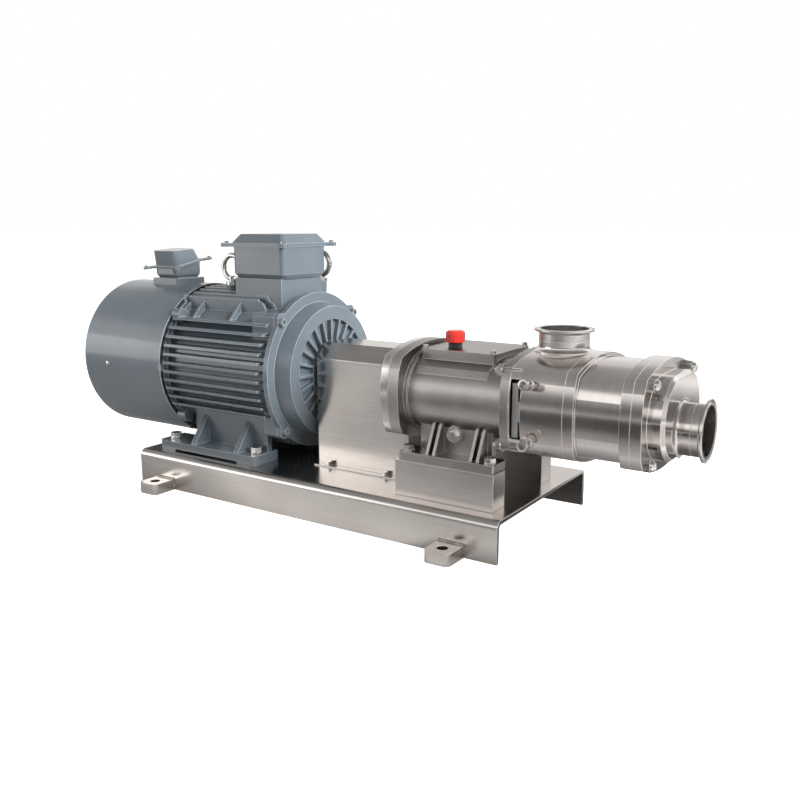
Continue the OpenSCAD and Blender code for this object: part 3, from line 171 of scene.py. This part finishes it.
def coating(name, shade, bright, worn_to, rough, grain, relief, edge=1.2, coat=0.0, wear=0.45):
    """Paint, plastic or rubber. grain is the size in mm of its surface texture, relief its depth in mm, edge
    the radius of its edges in mm. The edges carry a painted highlight: the last argument says how far they are
    drawn towards the fourth colour."""
    finish, tree, place = start(name)
    texture = marks(tree, place, (grain, grain, grain), 2.0, 0.5)
    patches = marks(tree, place, (90, 90, 90), 3.0, 0.55)
    rounded, worn = edges(tree, edge)
    colour = put(tree, "ShaderNodeValToRGB", {0: patches},
                 [(0.3, linear(shade)), (0.7, linear(bright))]).outputs[0]
    # Painted highlight: the edges are drawn towards the pale fourth colour
    rubbed = put(tree, "ShaderNodeMath", {0: worn, 1: wear}, operation="MULTIPLY").outputs[0]
    colour = put(tree, "ShaderNodeMix", {0: rubbed, 6: colour, 7: linear(worn_to)},
                 data_type="RGBA").outputs[2]
    gloss = put(tree, "ShaderNodeMapRange", {"Value": texture, "From Min": 0.3, "From Max": 0.7,
                                             "To Min": rough - 0.05, "To Max": rough + 0.05}).outputs[0]
    height = put(tree, "ShaderNodeBump", {"Height": texture, "Distance": relief * MM, "Strength": 0.7,
                                          "Normal": rounded}).outputs[0]
    skin = put(tree, "ShaderNodeBsdfPrincipled", {"Base Color": colour, "Roughness": gloss, "IOR": 1.5,
                                                  "Coat Weight": coat, "Coat Roughness": 0.13,
                                                  "Normal": height})
    put(tree, "ShaderNodeOutputMaterial", {"Surface": skin.outputs[0]})
    return finish


# Finishes, one for each material slot of the record

finishes = {
    # AISI 304 sheet, belt brushed along its length: fine lines stretch every reflection across them.
    # The real lines are 0.05 mm apart and are drawn 1.2 mm apart, the finest that shows.
    "brushed_stainless": steel("brushed_stainless_sheet", "#c0bab6", "#d2cdc9", rough=0.22,
                               stroke=(230, 1.2, 1.2), relief=0.007, cloud=150, edge=1.8),
    # AISI 316 turned and ground round the outside: a tight soft mirror, a little uneven from the grinding.
    # The real rings are 0.15 mm apart and are drawn 0.9 mm apart.
    "machined_stainless": steel("ground_stainless_housing", "#cac5c2", "#d6d1ce", rough=0.15,
                                stroke=(0.9, 50, 50), relief=0.003, cloud=80, edge=1.6, spread=0.03, waves=0.12),
    # Cast stainless, blasted with fine glass bead: grit of 0.1 mm, drawn 1.6 mm, gives an even satin
    "blasted_stainless": steel("bead_blasted_stainless_casting", "#a39f9c", "#b2aeab", rough=0.34,
                               stroke=(1.6, 1.6, 1.6), relief=0.04, cloud=60, edge=1.6),
    # Two-pack enamel sprayed on cast iron: a wet gloss over faint orange peel, with a painted highlight along
    # the edges
    "motor_enamel": coating("sprayed_enamel_on_cast_iron", "#5f6971", "#68727a", "#d2dade", rough=0.38,
                            grain=2.4, relief=0.08, edge=1.5, coat=0.6, wear=0.85),
    # Zinc plated and stainless screws, cold formed: small bright facets
    "zinc_fasteners": steel("zinc_plated_fastener", "#bdbbb8", "#e2e0dd", rough=0.2, stroke=(2.5, 2.5, 2.5),
                            relief=0.02, cloud=9, edge=0.7),
    # Stamped silicon steel stacked on edge: lines one sheet thick, 0.5 mm, drawn 1.5 mm
    "electrical_steel": steel("stacked_silicon_steel", "#55585b", "#7b7f82", rough=0.42,
                              stroke=(1.5, 40, 40), relief=0.06, cloud=30),
    # Enamelled copper wire wound and dipped in varnish: warm, glossy strands 2 mm wide
    "winding": steel("varnished_copper_winding", "#7c3f1c", "#b06a34", rough=0.3, stroke=(14, 2, 2),
                     relief=0.5, cloud=20, metallic=0.85),
    # Through-hardened chrome steel, ground: near mirror, its lines run round the ring, drawn 0.8 mm apart
    "bearing_steel": steel("ground_bearing_steel", "#b9bcbf", "#dcdfe1", rough=0.13, stroke=(0.8, 20, 20),
                           relief=0.004, cloud=25),
    # Ground shaft steel: fine rings round the shaft, really 0.2 mm apart and drawn 0.9 mm apart
    "shaft_steel": steel("ground_shaft_steel", "#a7aaab", "#cfd1d1", rough=0.2, stroke=(0.9, 30, 30),
                         relief=0.008, cloud=30),
    # Stainless pump screws, milled and polished by hand: soft facets along the flank
    "screw_steel": steel("polished_stainless_screw", "#b4b2ad", "#dad8d3", rough=0.15, stroke=(3, 3, 3),
                         relief=0.01, cloud=25),
    # Grey cast iron, turned: dull, dark and open grained
    "hub_iron": steel("turned_cast_iron_hub", "#4c5154", "#6f7578", rough=0.45, stroke=(1.0, 12, 12),
                      relief=0.05, cloud=15, metallic=0.8),
    # Drawn wire under the motor's enamel: smooth and even, with a soft sheen along each wire
    "grille_wire": coating("enamelled_drawn_wire", "#5e6b73", "#72808a", "#98a5ad", rough=0.4, grain=2.0,
                           relief=0.08, edge=0.8),
    # Moulded glass-filled nylon: matt, faintly mottled
    "fan_plastic": coating("moulded_nylon_fan", "#3c454b", "#4b555c", "#69747b", rough=0.5, grain=1.5,
                           relief=0.08, edge=1.0),
    # Cast polyurethane: a soft, slightly waxy red
    "spider_rubber": coating("cast_polyurethane_spider", "#9c2a20", "#b7392d", "#c8564a", rough=0.45,
                             grain=2.0, relief=0.1),
    # Moulded nitrile rubber: black, matt, with a dusty bloom
    "seal_black": coating("moulded_nitrile_seal", "#0d0d0e", "#151516", "#2c2c2d", rough=0.6, grain=1.5,
                          relief=0.06, edge=0.5),
    # Plain rolled stainless strip: dull grey, its rolling lines of 0.1 mm drawn 0.9 mm apart
    "shield_grey": steel("rolled_stainless_strip", "#a9aaab", "#b9babb", rough=0.55, stroke=(0.9, 0.9, 30),
                         relief=0.01, cloud=30, edge=0.5),
    # Injection moulded polyamide: glossy signal red, with a soft painted highlight on the corners of the flutes
    "cap_red": coating("moulded_polyamide_cap", "#c8251d", "#d42d25", "#ee6a60", rough=0.3, grain=1.5,
                       relief=0.03, edge=0.8, coat=0.3),
}
# Cover and boxes of rolled sheet and die casting under the same enamel: smoother than the sand casting
# Its edges carry the same painted highlight
smooth_enamel = coating("sprayed_enamel_on_sheet", "#636c74", "#6a747c", "#d2dade", rough=0.32, grain=3.5,
                        relief=0.04, edge=1.6, coat=0.6, wear=0.85)
# Pipe ends, turned inside and out and left as turned: a wider gleam than the ground housings. The tool's
# marks are 0.2 mm apart and are drawn 0.8 mm apart.
turned_steel = steel("turned_stainless_pipe_end", "#c9c5c2", "#d8d4d1", rough=0.24, stroke=(0.8, 0.8, 0.8),
                     relief=0.006, cloud=40, edge=1.0, spread=0.04)
# The red cap's own screw neck: oiled, and painted dark for the shadow under the cap
neck_steel = steel("turned_steel_neck_painted_shade", "#3a3634", "#5b5552", rough=0.35, stroke=(0.6, 8, 8), relief=0.05,
                   cloud=8, edge=0.4)
# Weld beads, pickled: a dull, rippled silver
weld_metal = steel("pickled_weld_metal", "#8d8780", "#bcb5ac", rough=0.36, stroke=(1.4, 4, 4), relief=0.2,
                   cloud=12, edge=0.5)

nodes_in = {
    "brushed_stainless": "base_channel base_foot_lugs support_blocks coupling_guard",
    "machined_stainless": "gear_cover seal_chamber rotor_casing front_cover flush_nipples discharge_ferrule "
                          "suction_ferrule",
    "blasted_stainless": "bearing_housing housing_lid",
    "motor_enamel": "motor_frame motor_feet drive_end_shield rear_end_shield fan_cowl terminal_box "
                    "terminal_box_lid aux_terminal_box aux_terminal_lid fan_motor",
    "zinc_fasteners": "motor_foot_bolts motor_screws terminal_lid_screws guard_bolts gear_cover_bolts "
                      "housing_lid_screws housing_nuts pump_foot_bolts cover_nuts drain_plug lifting_eyes",
    "electrical_steel": "stator_core rotor_core",
    "winding": "stator_windings",
    "bearing_steel": "motor_bearing_outers motor_bearing_inners bearing_outer_rings drive_bearing_inners "
                     "driven_bearing_inners",
    "shaft_steel": "motor_shaft drive_shaft driven_shaft drive_gear driven_gear",
    "screw_steel": "drive_screw driven_screw drive_screw_nut driven_screw_nut",
    "hub_iron": "coupling_hub_motor coupling_hub_pump",
    "grille_wire": "cowl_grille",
    "fan_plastic": "cooling_fan",
    "spider_rubber": "coupling_spider",
    "seal_black": "shaft_seal_rings seal_seats",
    "shield_grey": "seal_shields",
    "cap_red": "filler_cap",
}
# Nodes whose finish differs from the rest of their slot
own_finish = {name: smooth_enamel for name in
              "fan_cowl terminal_box terminal_box_lid aux_terminal_box aux_terminal_lid".split()}
own_finish.update({name: turned_steel for name in ("discharge_ferrule", "suction_ferrule")})
own_finish["motor_screws"] = finishes["motor_enamel"]


def dress_nodes():
    for slot, names in nodes_in.items():
        for name in names.split():
            shown = part[name].data.materials
            finish = own_finish.get(name, finishes[slot])
            if len(shown):
                for i in range(len(shown)):
                    shown[i] = finish
            else:
                shown.append(finish)
    left = sorted(set(part) - set(" ".join(nodes_in.values()).split()))
    if left:
        raise SystemExit("no finish for " + ", ".join(left))


# Mesh helpers, in millimetres

SMOOTH_BELOW = math.radians(35)
SIDES = (-1, 1)


def box_of(name):
    """A node's lowest and highest corners, in mm."""
    return [Vector(corner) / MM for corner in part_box(name)]


def middle(name):
    """The centre of a node's box, in mm."""
    low, high = box_of(name)
    return (low + high) / 2


def piece(name, mesh, finish):
    """Turns a bmesh in mm into a piece that rides on the base."""
    bmesh.ops.scale(mesh, vec=(MM, MM, MM), verts=mesh.verts)
    bmesh.ops.recalc_face_normals(mesh, faces=mesh.faces)
    for face in mesh.faces:
        face.smooth = True
    for edge in mesh.edges:
        edge.smooth = len(edge.link_faces) == 2 and edge.calc_face_angle(0) < SMOOTH_BELOW
    data = bpy.data.meshes.new(name)
    mesh.to_mesh(data)
    mesh.free()
    data.materials.append(finish)
    made = bpy.data.objects.new(name, data)
    bpy.context.scene.collection.objects.link(made)
    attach(made, "base")
    return made


def skin_rows(mesh, rows):
    """Closes rings of points, all of one length, into a solid."""
    for low, high in zip(rows, rows[1:]):
        for k in range(len(low)):
            after = (k + 1) % len(low)
            mesh.faces.new((low[k], low[after], high[after], high[k]))
    mesh.faces.new(rows[0][::-1])
    mesh.faces.new(rows[-1])


def turned(mesh, outline, centre, axis, steps=48, flutes=0, flute=0.0, fluted=()):
    """Adds a closed turned body: outline is (radius, height) pairs along axis from centre.
    Rows listed in fluted are cut by that many flutes, flute mm deep."""
    turn = Vector((0, 0, 1)).rotation_difference(Vector(axis)).to_matrix()
    rows = []
    for i, (radius, height) in enumerate(outline):
        row = []
        for k in range(steps):
            angle = 2 * math.pi * k / steps
            r = radius - (flute * (0.5 + 0.5 * math.cos(flutes * angle)) if i in fluted else 0)
            row.append(mesh.verts.new(Vector(centre) + turn @ Vector(
                (r * math.cos(angle), r * math.sin(angle), height))))
        rows.append(row)
    skin_rows(mesh, rows)
    return mesh


def bead(mesh, path, radius, pitch=3.2, ripple=0.12, sides=10):
    """Adds a weld bead along a path of points, with its ripples pitch mm apart."""
    points = [Vector(p) for p in path]
    spaced = []
    for a, b in zip(points, points[1:]):
        count = max(1, round((b - a).length / (pitch / 4)))
        spaced += [a.lerp(b, i / count) for i in range(count)]
    spaced.append(points[-1])
    rows = []
    for i, p in enumerate(spaced):
        ahead = (spaced[min(i + 1, len(spaced) - 1)] - spaced[max(i - 1, 0)]).normalized()
        side = ahead.cross(Vector((0.31, 0.57, 0.76))).normalized()
        over = ahead.cross(side)
        swell = radius * (1 + ripple * math.cos(math.pi * i / 2)) * (0.75 if i in (0, len(spaced) - 1) else 1)
        rows.append([mesh.verts.new(p + side * swell * math.cos(t) + over * swell * math.sin(t))
                     for t in (2 * math.pi * k / sides for k in range(sides))])
    skin_rows(mesh, rows)
    return mesh


def slab(mesh, outline, y0, y1):
    """Adds a flat plate: outline is (x, z) points, between y0 and y1."""
    near = [mesh.verts.new((x, y0, z)) for x, z in outline]
    far = [mesh.verts.new((x, y1, z)) for x, z in outline]
    mesh.faces.new(near)
    mesh.faces.new(far[::-1])
    for i in range(len(outline)):
        k = (i + 1) % len(outline)
        mesh.faces.new((near[i], far[i], far[k], near[k]))


# Pieces

def red_filler_cap():
    """Fluted cap of the oil filler, which screws onto a short neck in the lid, painted dark as shade."""
    at = middle("filler_cap")
    at.z = box_of("housing_lid")[1].z
    skirt, grip = [(12.4, 8.7), (14.9, 9), (15.4, 9.8)], [(15.5, 11.5), (15.5, 22), (15.2, 24.3)]
    crown = [(14.3, 26), (12.8, 27.1), (11.6, 27.4), (10.9, 26.9), (5, 27), (1.2, 27.1)]
    cap = turned(bmesh.new(), skirt + grip + crown, at, (0, 0, 1), steps=144, flutes=36, flute=0.55,
                 fluted=(3, 4, 5))
    cap = piece("red_filler_cap", cap, finishes["cap_red"])
    crest, root, pitch = 11.5, 10.6, 2
    rows = [(crest - 0.3, 0.2)]
    for i in range(4):
        rows += [(crest, 0.8 + pitch * i), (root, 1.8 + pitch * i)]
    rows.append((crest, 0.8 + pitch * 4))
    piece("filler_neck_thread", turned(bmesh.new(), rows, at, (0, 0, 1)), neck_steel)
    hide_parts("filler_cap")


def flush_fittings():
    """Four small hollow fittings, collared, that lean up and down out of the seal chamber's sides."""
    at = middle("flush_nipples")
    rise, reach, lean = 39, 98, math.radians(8)  # the CAD's own places, from the middle of the four
    neck, collar = [(6.5, 2), (6.5, 14.4)], [(8.5, 15), (8.9, 15.8), (8.9, 19), (8.4, 19.8)]
    groove, head = [(6.8, 20.3), (6.8, 25.4)], [(8.1, 26), (8.4, 26.8), (8.4, 36.6), (7.9, 37.6), (7.0, 38)]
    bore = [(4.9, 38), (4.4, 37.4), (4.2, 26)]
    mesh = bmesh.new()
    for side in SIDES:
        for up in SIDES:
            turned(mesh, neck + collar + groove + head + bore, (at.x, at.y + side * reach, at.z + up * rise),
                   (0, side * math.cos(lean), up * math.sin(lean)), 40)
    fittings = piece("flush_fittings", mesh, turned_steel)
    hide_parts("flush_nipples")


def seal_windows():
    """Tongued plates in the two windows beside the seals, over black sheets that paint the shade inside the
    windows.
    """
    low, high = box_of("seal_shields")
    mid = (low + high) / 2
    proud, thick = 9, 2.2  # the plate stands out of its window and reaches in over the black sheet of painted shade
    main_x, notch_x, tongue_x = low.x + 1.8, high.x - 6.2, high.x - 0.7
    foot, head = low.z + 1.6, high.z - 6.2
    tongue_low, tongue_high = mid.z - 18.4, mid.z + 11
    outline = [(main_x, foot), (notch_x, foot), (notch_x, tongue_low), (tongue_x, tongue_low),
               (tongue_x, tongue_high), (notch_x, tongue_high), (notch_x, head), (main_x, head)]
    gap = 0.3
    rim = [(low.x + gap, low.z + gap), (high.x - gap, low.z + gap), (high.x - gap, high.z - gap),
           (low.x + gap, high.z - gap)]
    plate, gasket = bmesh.new(), bmesh.new()
    for side in SIDES:
        outer = high.y if side > 0 else low.y
        slab(plate, outline, outer + side * proud, outer - side * thick)
        # Painted shade: a black sheet behind each plate fills the window, which is dark inside
        slab(gasket, rim, outer - side * (thick + 0.1), outer - side * (thick + 0.7))
    plate = piece("seal_window_plates", plate, finishes["shield_grey"])
    piece("seal_window_shade", gasket, finishes["seal_black"])
    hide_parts("seal_shields")


def lug_welds():
    """Fillet beads up, over and down where the four foot lugs meet the folded side."""
    reach, side = box_of("base_foot_lugs")[1], box_of("base_channel")[1].y
    half, radius = 44.5 / 2, 2.1  # half a lug's length along the base, and the bead's own radius
    clear, stand, corner = 0.4, 0.6, 1.9  # off the lug's ends, off the side and the lug's top, at a corner
    foot, shoulder, top = 2.5, reach.z - stand, reach.z + stand
    for i, (sx, sy) in enumerate([(-1, -1), (1, -1), (-1, 1), (1, 1)]):
        x, y = (reach.x - half) * sx, (side + stand) * sy
        left, right = x - half - clear, x + half + clear
        rim = [(left, y, foot), (left, y, shoulder), (left + corner, y, top),
               (right - corner, y, top), (right, y, shoulder), (right, y, foot)]
        piece(f"lug_weld_{i + 1}", bead(bmesh.new(), rim, radius), weld_metal)


def cowl_rivets():
    """Domed rivets that hold the fan motor's bracket to the cowl."""
    low, high = box_of("fan_cowl")
    from_back, below_shaft = 83.5, 3.4
    dome = [(5.4, -0.6), (5.4, 0.8), (4.9, 2.0), (3.6, 3.1), (1.9, 3.7), (0.6, 3.8)]
    mesh = bmesh.new()
    for side in SIDES:
        turned(mesh, dome, (low.x + from_back, high.y * side, (low.z + high.z) / 2 - below_shaft),
               (0, side, 0), 24)
    piece("cowl_rivets", mesh, finishes["zinc_fasteners"])


def cable_entry_plugs():
    """Blanking plugs, nearly flush, in the cable entries on the far side of the terminal box."""
    at, far = middle("terminal_box"), box_of("terminal_box")[1].y
    from_middle = 28
    plug = [(13.4, -0.4), (13.4, 0.8), (12.6, 1.5), (6.4, 1.5), (6.0, 0.3)]
    mesh = bmesh.new()
    for side in SIDES:
        turned(mesh, plug, (at.x + from_middle * side, far, at.z), (0, 1, 0), 48)
    piece("cable_entry_plugs", mesh, finishes["zinc_fasteners"])


# Studio: a pale floor in a white surround, with a soft key off the pump's end, a fill on the far side and a
# small lamp off the motor's side, which gives the cowl its sheen. Polished steel and gloss paint show what is
# round them, so they are given a floor and a room of their own tones to mirror.

WHITE = (1, 1, 1, 1)
FLOOR_HALF = 40  # m
FLOOR_COLOUR = "#cfcdca"
FLOOR_GLOW = 0.86  # for the camera alone: the floor shows white and keeps the object's shadow
AMBIENT = 0.32
# Painted dim pools on the floor, seen only in reflections: painted reflections before the pump and beyond its
# end, and painted shade under it: centre in m and how steeply the tone clears with the distance
POOLS = (((0.35, -1.15, 0), 0.67), ((0.95, 0.75, 0), 0.93), ((0.45, 0.05, 0), 2.0))
FLOOR_TONES = ((0, 0.06), (0.34, 0.09), (0.5, 0.34), (0.61, 0.6), (0.7, 0.95), (0.77, 0.5), (0.9, 0.4))
# Mirrored above the floor, from the horizon up: a pale wall on two sides, and elsewhere a long bright strip
# at head height under a dim ceiling
WALL_SIDES = ((-0.55, 0.83, 0), (1, 0, 0))
WALL_TONES = ((0, 1), (0.25, 1), (0.45, 0.62), (0.7, 0.4), (1, 0.34))
ROOM_TONES = ((0, 0.16), (0.1, 0.3), (0.22, 1.1), (0.3, 1.5), (0.46, 1.5), (0.54, 0.4), (1, 0.28))
# Name, place and size in m, watts, and whether polished surfaces mirror it
SOFTBOXES = (("pump_end_softbox", (4.3, -0.3, 2.3), (2.6, 2.2), 440, False),
             ("far_side_softbox", (-1.6, 4.4, 1.6), (2.6, 2.2), 210, False),
             ("motor_side_softbox", (-1.8, -1.6, 0.5), (1.5, 0.7), 8, True))
LAMPS_AIM = (0, 0, 0.2)


def warm(tones):
    """Brightnesses as the stops of a ramp of slightly warm greys."""
    return [(place, (v, v * 0.985, v * 0.97, 1)) for place, v in tones]


def floor_finish():
    """Matt pale floor, white to the camera, with painted dim pools in what polished steel mirrors."""
    finish, tree, place = start("pale_studio_floor")
    ray = put(tree, "ShaderNodeLightPath").outputs
    away = 1.0
    for pool, clears in POOLS:
        far = put(tree, "ShaderNodeVectorMath", {0: place, 1: pool}, operation="DISTANCE").outputs["Value"]
        far = put(tree, "ShaderNodeMath", {0: far, 1: clears}, operation="MULTIPLY").outputs[0]
        away = put(tree, "ShaderNodeMath", {0: far, 1: away}, operation="MINIMUM").outputs[0]
    mirrored = put(tree, "ShaderNodeValToRGB", {0: away}, warm(FLOOR_TONES)).outputs[0]
    tone = put(tree, "ShaderNodeMix", {0: ray["Is Glossy Ray"], 6: linear(FLOOR_COLOUR), 7: mirrored},
               data_type="RGBA").outputs[2]
    matt = put(tree, "ShaderNodeBsdfDiffuse", {"Color": tone}).outputs[0]
    seen = put(tree, "ShaderNodeMath", {0: ray["Is Camera Ray"], 1: ray["Is Transmission Ray"]},
               operation="MAXIMUM").outputs[0]
    dark = put(tree, "ShaderNodeEmission", {"Color": WHITE, "Strength": 0.0}).outputs[0]
    glow = put(tree, "ShaderNodeEmission", {"Color": WHITE, "Strength": FLOOR_GLOW}).outputs[0]
    extra = put(tree, "ShaderNodeMixShader", {0: seen, 1: dark, 2: glow}).outputs[0]
    both = put(tree, "ShaderNodeAddShader", {0: matt, 1: extra}).outputs[0]
    put(tree, "ShaderNodeOutputMaterial", {"Surface": both})
    return finish


def lay_floor():
    mesh = bmesh.new()
    bmesh.ops.create_grid(mesh, x_segments=2, y_segments=2, size=FLOOR_HALF)
    data = bpy.data.meshes.new("studio_floor")
    mesh.to_mesh(data)
    mesh.free()
    data.materials.append(floor_finish())
    floor = bpy.data.objects.new("studio_floor", data)
    bpy.context.scene.collection.objects.link(floor)


def set_surround():
    """White to the camera, an even light on matt surfaces, and a room for what polished steel mirrors."""
    world = bpy.data.worlds.new("soft_studio")
    world.use_nodes = True
    tree = world.node_tree
    tree.nodes.clear()
    ray = put(tree, "ShaderNodeLightPath").outputs
    way = put(tree, "ShaderNodeTexCoord").outputs["Generated"]
    height = put(tree, "ShaderNodeSeparateXYZ", {0: way}).outputs["Z"]
    wall = put(tree, "ShaderNodeValToRGB", {0: height}, warm(WALL_TONES)).outputs[0]
    room = put(tree, "ShaderNodeValToRGB", {0: height}, warm(ROOM_TONES)).outputs[0]
    pale = 0.0
    for side in WALL_SIDES:
        facing = put(tree, "ShaderNodeVectorMath", {0: way, 1: side}, operation="DOT_PRODUCT")
        share = put(tree, "ShaderNodeMapRange", {"Value": facing.outputs["Value"], "From Min": 0.65,
                                                 "From Max": 0.95}).outputs[0]
        pale = put(tree, "ShaderNodeMath", {0: share, 1: pale}, operation="MAXIMUM").outputs[0]
    around = put(tree, "ShaderNodeMix", {0: pale, 6: room, 7: wall}, data_type="RGBA").outputs[2]
    ambient = put(tree, "ShaderNodeBackground", {"Color": WHITE, "Strength": AMBIENT}).outputs[0]
    mirrored = put(tree, "ShaderNodeBackground", {"Color": around, "Strength": 1.0}).outputs[0]
    white = put(tree, "ShaderNodeBackground", {"Color": WHITE, "Strength": 1.0}).outputs[0]
    first = put(tree, "ShaderNodeMixShader", {0: ray["Is Glossy Ray"], 1: ambient, 2: mirrored}).outputs[0]
    seen = put(tree, "ShaderNodeMath", {0: ray["Is Camera Ray"], 1: ray["Is Transmission Ray"]},
               operation="MAXIMUM").outputs[0]
    shown = put(tree, "ShaderNodeMixShader", {0: seen, 1: first, 2: white}).outputs[0]
    put(tree, "ShaderNodeOutputWorld", {"Surface": shown})
    bpy.context.scene.world = world


def hang_softboxes():
    for name, place, size, watts, mirrored in SOFTBOXES:
        lamp = bpy.data.lights.new(name, "AREA")
        lamp.shape = "RECTANGLE"
        lamp.size, lamp.size_y = size
        lamp.energy = watts
        hung = bpy.data.objects.new(name, lamp)
        hung.location = place
        hung.rotation_euler = (Vector(LAMPS_AIM) - Vector(place)).to_track_quat("-Z", "Y").to_euler()
        hung.visible_camera = False
        hung.visible_glossy = mirrored
        bpy.context.scene.collection.objects.link(hung)


set_camera()
lay_floor()
set_surround()
hang_softboxes()
bpy.context.scene.view_settings.view_transform = "Standard"
dress_nodes()
red_filler_cap()
flush_fittings()
seal_windows()
lug_welds()
cowl_rivets()
cable_entry_plugs()
